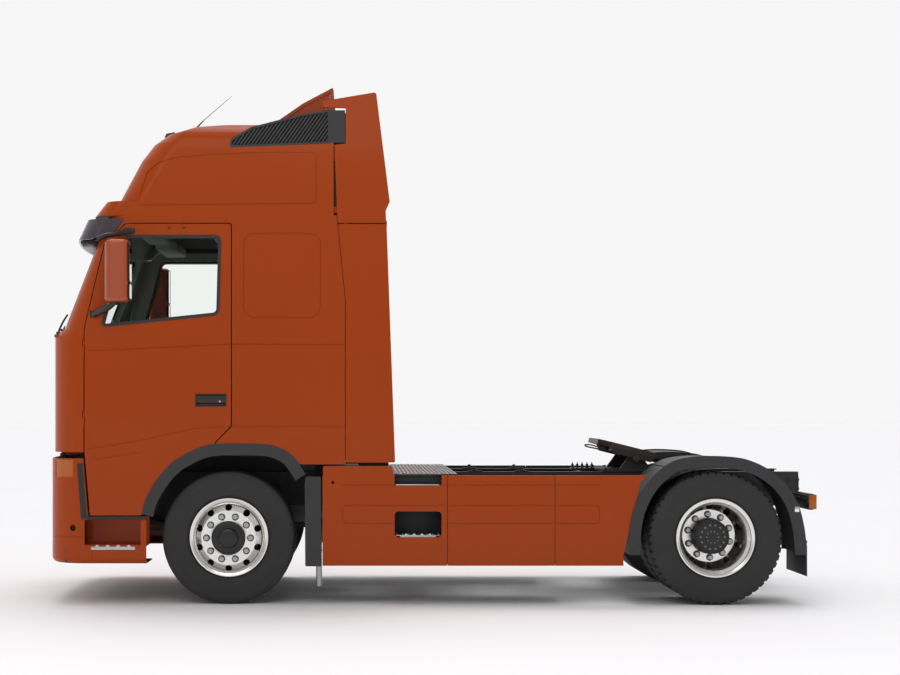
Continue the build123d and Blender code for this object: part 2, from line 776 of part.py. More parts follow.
# Ladder frame: two channel rails joined by cross members
with BuildPart() as frame:
    with BuildSketch(Plane.YZ.offset(rail_front)):
        with Locations((rail_outer_y - rail_flange / 2, (rail_top + rail_bottom) / 2)):
            Rectangle(rail_flange, rail_height)
        with Locations((rail_outer_y - rail_wall - rail_flange / 2, (rail_top + rail_bottom) / 2)):
            Rectangle(rail_flange, rail_height - 2 * rail_wall, mode=Mode.SUBTRACT)
    extrude(amount=rear_end_x + 10 - rail_front)
    mirror(about=Plane.XZ)
    for station in cross_stations:
        with Locations((ahead(station), 0, (rail_top + rail_bottom) / 2)):
            Box(cross_depth, 2 * (rail_outer_y - rail_wall), cross_height)
        with Locations((ahead(station) + rail_wall, 0, (rail_top + rail_bottom) / 2)):
            Box(cross_depth, 2 * (rail_outer_y - rail_flange), cross_height - 2 * rail_wall,
                mode=Mode.SUBTRACT)
    # Front beam and the posts of the tilt hinge
    with Locations((ahead(1230), 0, 820)):
        Box(100, 1310, 150)
    for side in (1, -1):
        for y in (tilt_eye_y - tilt_eye_length / 2 - 13, tilt_eye_y + tilt_eye_length / 2 + 13):
            with BuildSketch(side_plane(side * y + 8)):
                with BuildLine():
                    Polyline((ahead(1200), 880), (tilt_x - 16, tilt_z + 12), (tilt_x + 12, tilt_z + 12),
                             (tilt_x + 12, tilt_z - 14), (ahead(1280), 860), close=True)
                make_face()
            extrude(amount=16)
        with Locations(Location((tilt_x, side * tilt_eye_y, tilt_z), (90, 0, 0))):
            Cylinder(tilt_pin_radius, tilt_eye_length + 30)
    # Cab rest behind the cab floor
    for side in (1, -1):
        with Locations((ahead(-700), side * 380, (rail_top + floor_top - floor_thickness - seat_gap) / 2)):
            Box(110, 90, floor_top - floor_thickness - seat_gap - rail_top)
save(frame, "frame")

# Front axle: a dropped beam with an upright eye at each end
with BuildPart() as front_axle:
    with Locations((ahead(0), 0, beam_centre_z)):
        Box(beam_width, 2 * beam_drop_y, beam_height)
        Box(beam_width + 10, 2 * beam_drop_y, beam_height - 2 * 24, mode=Mode.SUBTRACT)
        Box(24, 2 * beam_drop_y, beam_height)
    for side in (1, -1):
        with BuildSketch(Plane.YZ.offset(ahead(-beam_width / 2))):
            with BuildLine():
                Polyline((side * beam_drop_y, beam_centre_z - beam_height / 2),
                         (side * beam_drop_y, beam_centre_z + beam_height / 2),
                         (side * (kingpin_y - 20), hub_height + eye_height / 2 - 20),
                         (side * (kingpin_y - 20), hub_height - eye_height / 2 + 20), close=True)
            make_face()
        extrude(amount=beam_width)
        with Locations((ahead(0), side * kingpin_y, hub_height)):
            Cylinder(eye_radius, eye_height)
            Cylinder(kingpin_radius + running_gap, eye_height + 2, mode=Mode.SUBTRACT)
save(front_axle, "front_axle")

# Steering knuckles: a yoke round the axle's eye, the kingpin and the stub axle
with BuildPart() as knuckle_left:
    for z in (hub_height + eye_height / 2 + yoke_arm / 2 + 1,
              hub_height - eye_height / 2 - yoke_arm / 2 - 1):
        with Locations((ahead(0), kingpin_y, z)):
            Cylinder(50, yoke_arm)
        with Locations((ahead(0), kingpin_y + 40, z)):
            Box(100, 80, yoke_arm)
    with Locations((ahead(0), kingpin_y + 66, hub_height)):
        Box(100, 30, eye_height + 2 * yoke_arm + 2)
    with Locations((ahead(0), kingpin_y, hub_height)):
        Cylinder(kingpin_radius, eye_height + 2 * yoke_arm)
    with Locations(Location((ahead(0), (kingpin_y + 60 + stub_end) / 2, hub_height), (90, 0, 0))):
        Cylinder(spindle_radius, stub_end - kingpin_y - 60)
    # Steering arm
    with Locations((ahead(-120), kingpin_y + 20, hub_height - eye_height / 2 - yoke_arm / 2 - 1)):
        Box(160, 50, 30)
save(knuckle_left, "knuckle_left")
with BuildPart() as knuckle_right:
    mirror(knuckle_left.part, about=Plane.XZ)
save(knuckle_right, "knuckle_right")


def tyre_face(centre_y, side):
    # Half-round carcass section with flat tread, on an axle plane
    with BuildSketch(axle_plane(0, centre_y)) as face:
        with BuildLine():
            tread = tyre_diameter / 2
            wide = tyre_width / 2
            groove_points = [(y + shift, tread - drop) for y in tread_grooves
                             for shift, drop in ((6, 0), (4, groove_depth), (-4, groove_depth), (-6, 0))]
            Polyline((-bead_half_width, bead_radius), (bead_half_width, bead_radius),
                     (bead_half_width, rim_flange_radius + 2), (wide - 22, rim_flange_radius + 14))
            ThreePointArc((wide - 22, rim_flange_radius + 14), (wide, tread - 112), (wide - 14, tread - 28))
            ThreePointArc((wide - 14, tread - 28), (wide - 20, tread - 9), (wide - 36, tread))
            Polyline((wide - 36, tread), *groove_points, (36 - wide, tread))
            ThreePointArc((36 - wide, tread), (20 - wide, tread - 9), (14 - wide, tread - 28))
            ThreePointArc((14 - wide, tread - 28), (-wide, tread - 112), (22 - wide, rim_flange_radius + 14))
            Polyline((22 - wide, rim_flange_radius + 14), (-bead_half_width, rim_flange_radius + 2),
                     (-bead_half_width, bead_radius))
        make_face()
    return face.sketch


def rim_face(centre_y, side):
    # Barrel and disc; side is +1 where the disc lies towards +Y
    seat = bead_radius - bead_clearance
    edge = rim_half_width
    with BuildSketch(axle_plane(0, centre_y)) as face:
        with BuildLine():
            Polyline((-edge, rim_flange_radius), (-bead_half_width - 3, rim_flange_radius),
                     (-bead_half_width - bead_clearance, seat), (-92, seat), (-70, rim_well_radius),
                     (70, rim_well_radius), (92, seat), (bead_half_width + bead_clearance, seat),
                     (bead_half_width + 3, rim_flange_radius), (edge, rim_flange_radius),
                     (edge, rim_flange_radius - 9), (edge - 6, seat - rim_wall),
                     (98, seat - rim_wall), (76, rim_well_radius - rim_wall),
                     (-76, rim_well_radius - rim_wall), (-98, seat - rim_wall),
                     (6 - edge, seat - rim_wall), (-edge, rim_flange_radius - 9), close=True)
        make_face()
        inner = disc_offset - disc_thickness
        with BuildLine():
            Polyline(*[(side * a, r) for a, r in (
                (inner, pilot_radius), (disc_offset, pilot_radius), (disc_offset, 208), (140, 250),
                (112, seat - rim_wall + 2), (98, seat - rim_wall), (80, rim_well_radius - 5),
                (76, rim_well_radius - rim_wall), (104, 256), (122, 240), (inner, 203))], close=True)
        make_face()
    return face.sketch


def wheel_axis(x):
    return Axis((x, 0, hub_height), (0, 1, 0))


def hand_holes(x, centre_y, side):
    # Round holes through the sloping part of the disc
    plane = Plane(origin=(x, centre_y + side * disc_offset, hub_height), z_dir=(0, side, 0))
    with BuildPart(plane) as holes:
        with PolarLocations(hand_hole_circle, hand_hole_count):
            Cylinder(hand_hole_radius, 150)
    return holes.part


front_y = front_track / 2
outer_y = rear_track / 2 + twin_spacing / 2
inner_y = rear_track / 2 - twin_spacing / 2

with BuildPart() as tyre_front_left:
    revolve(Pos(ahead(0), 0, 0) * tyre_face(front_y, 1), axis=wheel_axis(ahead(0)))
with BuildPart() as rim_front_left:
    revolve(Pos(ahead(0), 0, 0) * rim_face(front_y, 1), axis=wheel_axis(ahead(0)))
    add(hand_holes(ahead(0), front_y, 1), mode=Mode.SUBTRACT)
    # Hub with its brake disc, flange, pilot and cap
    with BuildSketch(axle_plane(ahead(0), front_y)):
        with BuildLine():
            Polyline((-20, hub_bore_radius), (-20, brake_disc_radius), (25, brake_disc_radius),
                     (25, hub_barrel_radius), (130, hub_barrel_radius), (136, hub_flange_radius),
                     (disc_offset - disc_thickness, hub_flange_radius),
                     (disc_offset - disc_thickness, pilot_radius), (182, pilot_radius),
                     (188, 112), (188, hub_cap_radius), (226, hub_cap_radius - 6),
                     (232, hub_cap_radius - 20), (232, 0), (200, 0), (200, hub_bore_radius), close=True)
        make_face()
    revolve(axis=wheel_axis(ahead(0)))
with BuildPart() as tyres_rear_left:
    revolve(Pos(rear_axle_x, 0, 0) * tyre_face(outer_y, 1), axis=wheel_axis(rear_axle_x))
    revolve(Pos(rear_axle_x, 0, 0) * tyre_face(inner_y, 1), axis=wheel_axis(rear_axle_x))
with BuildPart() as rims_rear_left:
    revolve(Pos(rear_axle_x, 0, 0) * rim_face(outer_y, -1), axis=wheel_axis(rear_axle_x))
    revolve(Pos(rear_axle_x, 0, 0) * rim_face(inner_y, 1), axis=wheel_axis(rear_axle_x))
    add(hand_holes(rear_axle_x, rear_track / 2 - disc_offset, 1), mode=Mode.SUBTRACT)
    with BuildSketch(axle_plane(rear_axle_x, rear_track / 2)):
        with BuildLine():
            Polyline((-230, hub_bore_radius), (-230, 195), (-80, 195), (-80, 150), (-30, 150),
                     (-disc_thickness - 1, hub_flange_radius), (-disc_thickness, hub_flange_radius),
                     (-disc_thickness, pilot_radius), (disc_thickness, pilot_radius),
                     (disc_thickness + 6, rear_cap_radius), (150, rear_cap_radius - 8),
                     (165, rear_cap_radius - 25), (165, 0), (140, 0), (140, hub_bore_radius),
                     close=True)
        make_face()
    revolve(axis=wheel_axis(rear_axle_x))
for piece, name in ((tyre_front_left, "tyre_front"), (rim_front_left, "rim_front"),
                    (tyres_rear_left, "tyres_rear"), (rims_rear_left, "rims_rear")):
    save(piece, name + "_left")
    with BuildPart() as other_side:
        mirror(piece.part, about=Plane.XZ)
    save(other_side, name + "_right")

# Rear axle: housing with the differential's bowl and two spindles
with BuildPart() as rear_axle:
    with Locations(Location((rear_axle_x, 0, hub_height), (90, 0, 0))):
        Cylinder(rear_tube_radius, 2 * (rear_track / 2 - 240))
        Cylinder(spindle_radius, 2 * (rear_track / 2 + 132))
    with Locations((rear_axle_x, 0, hub_height)):
        Sphere(diff_radius)
    with Locations(Location((rear_axle_x + 240, 0, hub_height + 20), (0, 90, 0))):
        Cone(110, 70, 180)
save(rear_axle, "rear_axle")

# Springs: two-leaf packs in front, air bellows on hanger arms behind
with BuildPart() as suspension:
    for side in (1, -1):
        spring_base = beam_centre_z + beam_height / 2
        with BuildSketch(side_plane(side * 380 + 45)):
            with BuildLine():
                ThreePointArc((ahead(880), 640), (ahead(0), spring_base + 20), (ahead(-880), 640))
                Line((ahead(-880), 640), (ahead(-880), 662))
                ThreePointArc((ahead(-880), 662), (ahead(0), spring_base + 62), (ahead(880), 662))
                Line((ahead(880), 662), (ahead(880), 640))
            make_face()
        extrude(amount=90)
        with Locations((ahead(0), side * 380, spring_base + 15)):
            Box(140, 100, 30)
        for x in (860, -860):
            with Locations((ahead(x), side * 380, (rail_bottom + 650) / 2)):
                Box(90, 60, rail_bottom - 650)
        # Air bellows between the rail and the arm that hangs under the axle
        for x in (320, -400):
            with Locations((rear_axle_x + x, side * 480, rail_bottom - 75)):
                Cylinder(100, 150)
        with Locations((rear_axle_x + 60, side * 480, 540 + 50)):
            Box(1250, 100, 50)
        with Locations((rear_axle_x + 640, side * 430, rail_bottom - 75)):
            Box(100, 200, 150)
        with Locations((rear_axle_x - 40, side * 480, rail_bottom + 15)):
            Box(1100, 108, 30)
    with Locations(Location((rear_axle_x, 0, hub_height), (90, 0, 0))):
        Cylinder(rear_tube_radius, 2000, mode=Mode.SUBTRACT)
    add(frame.part, mode=Mode.SUBTRACT)
save(suspension, "suspension")

# Engine block and radiator, then gearbox and propeller shaft
with BuildPart() as engine:
    with Locations((ahead(240), 0, 905)):
        Box(1250, 720, 700)
    for side in (1, -1):
        with Locations((ahead(240), side * (rail_outer_y + 360 - rail_wall) / 2, 850)):
            Box(160, rail_outer_y - rail_wall - 360, 100)
    with Locations((ahead(1000), 0, 880)):
        Box(80, 2 * (rail_outer_y - rail_wall), 560)
    add(frame.part, mode=Mode.SUBTRACT)
    add(suspension.part, mode=Mode.SUBTRACT)
save(engine, "engine")

with BuildPart() as gearbox:
    with Locations((ahead(-385 - 300), 0, 800)):
        Box(600, 420, 460)
    with Locations(Location((ahead(-985 - 130), 0, 740), (0, -90, 0))):
        Cone(150, 60, 260)
    start = Vector(ahead(-1240), 0, 740)
    end = Vector(rear_axle_x + 336, 0, hub_height + 20)
    with BuildSketch(Plane(origin=start, z_dir=end - start)):
        Circle(55)
    extrude(amount=(end - start).length)
    add(frame.part, mode=Mode.SUBTRACT)
save(gearbox, "gearbox")


# Bumper: a wrapped shell that runs back under the doors as a step
def bumper_slice(height, inset):
    return plan_section(height, bumper_middle, bumper_corner, 280, inset, cab_half_width - 3,
                        ahead(bumper_rear - 60))


def bumper_block(inset):
    # The bumper's form with its lower edge rounded, drawn in by an inset
    with BuildPart() as block:
        loft([bumper_slice(bumper_bottom + inset, inset),
              bumper_slice(bumper_top + (1 if inset else 0), inset)], ruled=True)
        fillet(block.faces().sort_by(Axis.Z)[0].edges().sort_by(Axis.X)[1:], bumper_round - inset)
    return block.part


def indicator_place(side):
    return (ahead(1250), side * 1120, 1037)


with BuildPart() as bumper:
    add(bumper_block(0))
    add(bumper_block(bumper_wall), mode=Mode.SUBTRACT)
    # Clear of the wheels, the doors and the cab's corners
    with Locations((ahead(bumper_rear) - 100, 0, 700)):
        Box(200, 3000, 1000, mode=Mode.SUBTRACT)
    with BuildSketch(side_plane(0)):
        with BuildLine():
            Polyline((ahead(400), bumper_under_door), (ahead(1060), bumper_under_door),
                     (ahead(1103), 1165), (ahead(400), 1165), close=True)
        make_face()
    extrude(amount=1500, both=True, mode=Mode.SUBTRACT)
    # Open underneath between the side steps
    with Locations((ahead(900), 0, bumper_bottom + 20)):
        Box(800, 1700, 60, mode=Mode.SUBTRACT)
    # Step recess with its floor and back wall, on both sides
    for side in (1, -1):
        with Locations((ahead(875), side * (cab_half_width - 60), 550)):
            Box(425, 160, 195, mode=Mode.SUBTRACT)
        with Locations((ahead(bumper_rear + 240), side * (cab_half_width - 118), 452.5)):
            Box(480, 220, 10)
        with Locations((ahead(bumper_rear + 240), side * (cab_half_width - 228), 555)):
            Box(480, 10, 214)
        # Lamp bays, the round hole low at the front corner, and the apron's side joint
        with Locations((ahead(1290), side * 860, 900)):
            Box(400, 330, 150, mode=Mode.SUBTRACT)
        with Locations(Location((ahead(1178), side * cab_half_width, 586), (90, 0, 0))):
            Cylinder(24, 200, mode=Mode.SUBTRACT)
        with Locations((ahead(1034), side * cab_half_width, 363)):
            Box(press_width, 2 * press_depth + 6, 98, mode=Mode.SUBTRACT)
        with Locations(indicator_place(side)):
            Box(*indicator_bay, mode=Mode.SUBTRACT)
    for opening_z, opening_height in grille_openings:
        with Locations((ahead(1300), 0, opening_z)):
            Box(300, 1240, opening_height, mode=Mode.SUBTRACT)
    # Line round the bumper where its lower apron starts
    with BuildSketch(Plane.XY.offset(apron_z)):
        add(bumper_slice(0, -1))
        add(bumper_slice(0, press_depth), mode=Mode.SUBTRACT)
        with Locations((ahead(1034) - 400, 0)):
            Rectangle(800, 3000, mode=Mode.SUBTRACT)
    extrude(amount=press_width, mode=Mode.SUBTRACT)
    # Brackets back to the front beam
    for side in (1, -1):
        with Locations((ahead(1345), side * 630, 800)):
            Box(130, 40, 90)
    add(frame.part, mode=Mode.SUBTRACT)
save(bumper, "bumper")

# Lamps: headlamp units in the bumper's bays, and the rear lamps on their bar
with BuildPart() as lamps:
    loft([bumper_slice(826, 4), bumper_slice(974, 4)], ruled=True)
    with Locations(*[(ahead(1350), side * 860, 900) for side in (1, -1)]):
        Box(200, 329.4, 149.4, mode=Mode.INTERSECT)
    # Indicators wrapped round the bumper's upper corners
    with BuildPart(mode=Mode.PRIVATE) as indicators:
        loft([bumper_slice(960, 2), bumper_slice(1110, 2)], ruled=True)
        loft([bumper_slice(960, 34), bumper_slice(1110, 34)], ruled=True, mode=Mode.SUBTRACT)
        with Locations(*[indicator_place(side) for side in (1, -1)]):
            Box(*[length - 2 * seat_gap for length in indicator_bay], mode=Mode.INTERSECT)
    add(indicators)
    for side in (1, -1):
        with Locations((rear_end_x + 75, side * 960, 780)):
            Box(60, 420, 125)
        with Locations((rear_end_x + 110, side * (rail_outer_y + 760) / 2, 800)):
            Box(10, 760 - rail_outer_y, 60)
        with Locations((rear_end_x + 110, side * 960, 800)):
            Box(10, 420, 60)
save(lamps, "lamps")

# Rear parts of the front mudguards, on arms from the frame
with BuildPart() as front_mudguards:
    with BuildSketch(side_plane(1240)):
        with BuildLine():
            FilletPolyline((ahead(-585), 295), (ahead(-582), 940), (ahead(-592), 975),
                           (ahead(-704), 975), (ahead(-709), 295), radius=10, close=True)
        make_face()
    extrude(amount=12)
    with BuildSketch(side_plane(1228)):
        with BuildLine():
            Polyline((ahead(-600), 295), (ahead(-597), 975), (ahead(-605), 975),
                     (ahead(-608), 295), close=True)
        make_face()
    extrude(amount=500)
    for x in (-660,):
        with Locations((ahead(x), (rail_outer_y + 1228) / 2, 860)):
            Box(40, 1228 - rail_outer_y, 40)
    with Locations((ahead(-628), 980, 860)):
        Box(60, 60, 40)
    mirror(about=Plane.XZ)
save(front_mudguards, "front_mudguards")

# Side skirts in three panels a side, on brackets from the rails
with BuildPart() as side_skirts:
    with BuildSketch(side_plane(skirt_half_width)):
        with BuildLine():
            Polyline((skirt_front, skirt_bottom), (rear_axle_x + guard_front_low + 12, skirt_bottom),
                     (rear_axle_x + guard_front_low + 12, guard_bottom),
                     (rear_axle_x + guard_front_high + 12, guard_shoulder),
                     (rear_axle_x + guard_front_high - 40, skirt_top), (skirt_front, skirt_top),
                     close=True)
        make_face()
        with Locations((skirt_joint_front, 600), (skirt_joint_rear, 600)):
            Rectangle(skirt_joint_gap, 1000, mode=Mode.SUBTRACT)
        with Locations(drain_hole):
            Circle(12, mode=Mode.SUBTRACT)
        # Step opening, and the notch under the walkway's edge
        with Locations((step_x, step_z)):
            RectangleRounded(step_width, step_height, 30, mode=Mode.SUBTRACT)
        with Locations((step_x, skirt_top)):
            Rectangle(step_width, 2 * notch_depth, mode=Mode.SUBTRACT)
    extrude(amount=skirt_wall)
    # Pressed line and band along the outside
    with BuildSketch(side_plane(skirt_half_width)):
        with Locations(((band_front + band_rear) / 2, upper_line_z)):
            Rectangle(band_front - band_rear, press_width)
        with Locations(((band_front + band_rear) / 2, (band_top + band_bottom) / 2)):
            RectangleRounded(band_front - band_rear, band_top - band_bottom, 40)
            RectangleRounded(band_front - band_rear - 2 * press_width,
                             band_top - band_bottom - 2 * press_width, 34, mode=Mode.SUBTRACT)
    extrude(amount=press_depth, mode=Mode.SUBTRACT)
    # Raised strip under the rear of the cab
    with BuildSketch(side_plane(skirt_half_width)):
        with BuildLine():
            FilletPolyline((ahead(-720), skirt_top), (ahead(-720), 1056), (ahead(-1240), 1056),
                           (ahead(-1260), skirt_top), radius=12, close=True)
        make_face()
    extrude(amount=skirt_wall)
    for x in (-900, -1850, -2350, -2650, -2900):
        with Locations((ahead(x), (rail_outer_y + skirt_half_width - skirt_wall) / 2, 925)):
            Box(50, skirt_half_width - skirt_wall - rail_outer_y, 30)
    mirror(about=Plane.XZ)
save(side_skirts, "side_skirts")

# Fuel tank and battery box behind the left skirt, silencer and tank on the right
with BuildPart() as tanks:
    for side in (1, -1):
        with Locations((ahead(-2180), side * 815, 640)):
            Box(880, 640, 520)
        with Locations((ahead(-1150), side * 700, 720)):
            Box(720, 540, 380)
    fillet(tanks.edges().filter_by(Axis.X), 70)
    for side in (1, -1):
        for x in (-2480, -1880):
            with Locations((ahead(x), side * (rail_outer_y + 36), 830)):
                Box(60, 72, 100)
        with Locations((ahead(-1150), side * (rail_outer_y + 10), 800)):
            Box(60, 20, 100)
save(tanks, "tanks")

# Walkway of chequer plate behind the cab, and the bright step treads
with BuildPart() as treads:
    with Locations((ahead(-1500), 0, rail_top + 5)):
        Box(480, 2400, 10)
    for side in (1, -1):
        with Locations((step_x, side * (skirt_half_width - 110), step_z - step_height / 2 + 8)):
            Box(step_width - 10, 170, 16)
        for x in (-120, 120):
            with Locations((step_x + x, side * 1015, step_z - step_height / 2 - 10)):
                Box(30, 130, 20)
        with Locations((ahead(876), side * (cab_half_width - 75), 432)):
            Box(350, 140, 30)
    add(bumper.part, mode=Mode.SUBTRACT)
    add(tanks.part, mode=Mode.SUBTRACT)
save(treads, "treads")

# Fifth wheel stand: a cross plate on the rails, two pedestals and the pivot pins
with BuildPart() as fifth_wheel_stand:
    with Locations((coupling_x, 0, rail_top + stand_plate / 2)):
        Box(540, 2 * rail_outer_y + 30, stand_plate)
    for side in (1, -1):
        with BuildSketch(side_plane(side * stand_y + side * 0 + stand_width / 2)):
            with BuildLine():
                Polyline((coupling_x - 130, rail_top + stand_plate), (coupling_x - 40, coupling_pivot_z + 30),
                         (coupling_x + 40, coupling_pivot_z + 30), (coupling_x + 130, rail_top + stand_plate),
                         close=True)
            make_face()
        extrude(amount=stand_width)
        with Locations(Location((coupling_x, side * (stand_y - 30), coupling_pivot_z), (90, 0, 0))):
            Cylinder(coupling_pin_radius, stand_width + 60)
save(fifth_wheel_stand, "fifth_wheel_stand")

# Fifth wheel: the greased plate with its throat, on two ears
tilted = Plane(origin=(coupling_x, 0, coupling_pivot_z),
               x_dir=(cos(radians(plate_tilt)), 0, sin(radians(plate_tilt))),
               z_dir=(-sin(radians(plate_tilt)), 0, cos(radians(plate_tilt))))
with BuildPart() as fifth_wheel:
    with BuildSketch(tilted.offset(plate_rise - plate_thickness)):
        with BuildLine():
            FilletPolyline((plate_front, 300), (plate_front - 90, plate_half_width),
                           (-150, plate_half_width), (-plate_rear, 260), (-plate_rear, -260),
                           (-150, -plate_half_width), (plate_front - 90, -plate_half_width),
                           (plate_front, -300), radius=40, close=True)
        make_face()
        with BuildLine():
            Polyline((0, throat_radius), (-120, throat_radius + 4), (-plate_rear - 10, throat_half_width),
                     (-plate_rear - 10, -throat_half_width), (-120, -throat_radius - 4),
                     (0, -throat_radius), close=True)
        make_face(mode=Mode.SUBTRACT)
        Circle(throat_radius, mode=Mode.SUBTRACT)
    extrude(amount=plate_thickness)
    # Ribs and ears underneath
    with BuildSketch(tilted.offset(plate_rise - plate_thickness)):
        for side in (1, -1):
            with Locations((-60, side * 120)):
                Rectangle(600, 14)
        with Locations((190, 0)):
            Rectangle(14, 700)
    extrude(amount=-30)
    for side in (1, -1):
        with BuildSketch(Plane(origin=(coupling_x, side * ear_y + ear_width / 2, coupling_pivot_z),
                               x_dir=tilted.x_dir, z_dir=(0, -1, 0))):
            Circle(42)
            with Locations((0, (plate_rise - plate_thickness) / 2)):
                Rectangle(84, plate_rise - plate_thickness)
        extrude(amount=ear_width)
        with Locations(Location((coupling_x, side * ear_y, coupling_pivot_z), (90, 0, 0))):
            Cylinder(coupling_pin_radius + running_gap, ear_width + 10, mode=Mode.SUBTRACT)
save(fifth_wheel, "fifth_wheel")


# Rear mudguards over the twin wheels, with flaps, on tubes from the frame
def guard_outline(inset):
    with BuildSketch(side_plane(0)) as outline:
        with BuildLine():
            FilletPolyline((rear_axle_x + guard_front_low - inset, guard_bottom),
                           (rear_axle_x + guard_front_high - inset, guard_shoulder),
                           (rear_axle_x + 400 - inset / 2, 1075 - inset / 2), (rear_axle_x, guard_top - inset),
                           (rear_axle_x - 400 + inset / 2, 1075 - inset / 2),
                           (rear_axle_x - 590 + inset, 930), (rear_axle_x - 690 + inset, 560),
                           (rear_axle_x - 690 + inset, 380), radius=120, close=True)
        make_face()
    return outline.sketch


with BuildPart() as rear_mudguards:
    with BuildSketch(side_plane(guard_outer_y)):
        add(guard_outline(0))
        add(guard_outline(guard_wall), mode=Mode.SUBTRACT)
    extrude(amount=guard_outer_y - guard_inner_y)
    with BuildSketch(side_plane(guard_outer_y)):
        add(guard_outline(0))
        add(guard_outline(guard_lip), mode=Mode.SUBTRACT)
    extrude(amount=guard_wall)
    with Locations((rear_axle_x, 0, 300)):
        Box(1600, 3000, 360, mode=Mode.SUBTRACT)
    # Flap
    with Locations((rear_axle_x - 686, (guard_outer_y + guard_inner_y) / 2, 355)):
        Box(8, guard_outer_y - guard_inner_y, 270)
    # Support tubes
    for x, z in ((585, 880), (-585, 880)):
        with Locations(Location((rear_axle_x + x, (rail_outer_y + guard_inner_y + 60) / 2, z), (90, 0, 0))):
            Cylinder(20, guard_inner_y + 60 - rail_outer_y)
    mirror(about=Plane.XZ)
save(rear_mudguards, "rear_mudguards")

# Air and electric couplings on a bracket behind the walkway
with BuildPart() as couplings:
    with Locations((ahead(-2780), 0, rail_top - 58)):
        Box(12, 2 * (rail_outer_y - rail_wall), 100)
    with Locations((ahead(-2780), 0, rail_top - 8)):
        Box(12, 2 * (rail_outer_y - rail_flange), 20)
    with Locations((ahead(-2835), 0, rail_top + 10)):
        Box(190, 120, 20)
    for n in range(5):
        with Locations((ahead(-2755 - 40 * n), 0, rail_top + 45)):
            Cylinder(13, 50)
save(couplings, "couplings")
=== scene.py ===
import math
import bmesh
import bpy
from mathutils import Matrix, Vector
from mathutils.bvhtree import BVHTree


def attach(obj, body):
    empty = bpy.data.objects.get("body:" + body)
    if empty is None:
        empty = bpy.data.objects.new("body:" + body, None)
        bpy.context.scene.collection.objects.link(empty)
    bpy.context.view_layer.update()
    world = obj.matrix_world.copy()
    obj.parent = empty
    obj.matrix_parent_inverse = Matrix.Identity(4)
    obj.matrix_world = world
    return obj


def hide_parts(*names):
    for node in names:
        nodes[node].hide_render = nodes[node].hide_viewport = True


# High-roof tractor unit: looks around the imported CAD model. Metres; +X is forward, +Y the truck's left.
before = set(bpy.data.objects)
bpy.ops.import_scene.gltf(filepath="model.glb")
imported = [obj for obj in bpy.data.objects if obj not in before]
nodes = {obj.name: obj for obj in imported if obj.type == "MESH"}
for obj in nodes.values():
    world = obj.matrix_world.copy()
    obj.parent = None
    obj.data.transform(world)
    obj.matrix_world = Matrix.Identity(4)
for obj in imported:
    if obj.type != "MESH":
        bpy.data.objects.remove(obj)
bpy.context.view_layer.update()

truck = {"frontAxle": 1.555, "rearAxle": -2.145, "hub": 0.507, "frontTrack": 1.014, "rearOuter": 1.0935,
    "rearInner": 0.7435, "side": 1.245,}


def ahead(distance):
    return truck["frontAxle"] + distance  # metres forward of the front axle


def hexColour(text):
    # sRGB hex to the linear values that Blender works in
    values = [int(text[i:i + 2], 16) / 255 for i in (1, 3, 5)]
    return tuple(v / 12.92 if v <= 0.04045 else ((v + 0.055) / 1.055) ** 2.4 for v in values) + (1.0,)


def perMetre(millimetres):
    return 1000.0 / millimetres  # noise scale for a grain of that size


def addNode(tree, kind, settings=None, links=None):
    node = tree.nodes.new(kind)
    for name, value in (settings or {}).items():
        if isinstance(name, int) or name in node.inputs:
            node.inputs[name].default_value = value
        else:
            setattr(node, name, value)
    for name, source in (links or {}).items():
        tree.links.new(source, node.inputs[name])
    return node


def startMaterial(name, settings):
    material = bpy.data.materials.new(name)
    material.use_nodes = True
    tree = material.node_tree
    tree.nodes.clear()
    shader = addNode(tree, "ShaderNodeBsdfPrincipled", settings)
    addNode(tree, "ShaderNodeOutputMaterial", links={"Surface": shader.outputs["BSDF"]})
    place = addNode(tree, "ShaderNodeTexCoord").outputs["Object"]
    return material, tree, shader, place


def noiseAt(tree, place, millimetres, detail):
    # Noise over the object, its grain in millimetres
    return addNode(tree, "ShaderNodeTexNoise", {"Scale": perMetre(millimetres), "Detail": detail},
        {"Vector": place}).outputs["Fac"]


def calc(tree, operation, *values, vector=False):
    # One operation on numbers or vectors: plain values are set, sockets are linked
    node = addNode(tree, "ShaderNodeVectorMath" if vector else "ShaderNodeMath", {"operation": operation})
    for i, value in enumerate(values):
        if isinstance(value, bpy.types.NodeSocket):
            tree.links.new(value, node.inputs[i])
        else:
            node.inputs[i].default_value = value
    isNumber = not vector or operation in ("DOT_PRODUCT", "LENGTH")
    return node.outputs["Value" if isNumber else "Vector"]


def spread(tree, value, low, high, start=0.0, end=1.0):
    # The value's range from start to end, stretched to low and high
    return addNode(tree, "ShaderNodeMapRange", {"From Min": start, "From Max": end, "To Min": low,
        "To Max": high}, {"Value": value}).outputs["Result"]


def blended(tree, share, first, second):
    # From the first colour to the second by the share; a colour is hex text or a socket
    node = addNode(tree, "ShaderNodeMix", {"data_type": "RGBA"}, {0: share})
    for i, colour in ((6, first), (7, second)):
        if isinstance(colour, str):
            node.inputs[i].default_value = hexColour(colour)
        else:
            tree.links.new(colour, node.inputs[i])
    return node.outputs[2]


def reliefOf(tree, height, strength, distance):
    return addNode(tree, "ShaderNodeBump", {"Strength": strength, "Distance": distance},
        {"Height": height}).outputs["Normal"]


def feed(tree, shader, sources):
    for name, source in sources.items():
        tree.links.new(source, shader.inputs[name])


def grainedMaterial(name, colours, sizes, roughness, bump, settings):
    # Two colours mixed by a broad noise, a fine grain for roughness and bump; sizes in millimetres
    material, tree, shader, place = startMaterial(name, settings)
    broad, fine = noiseAt(tree, place, sizes[0], 4.0), noiseAt(tree, place, sizes[1], 3.0)
    feed(tree, shader, {"Base Color": blended(tree, broad, *colours), "Roughness": spread(tree, fine,
        *roughness), "Normal": reliefOf(tree, fine, *bump)})
    return material, tree, shader, place


print("stage: materials")


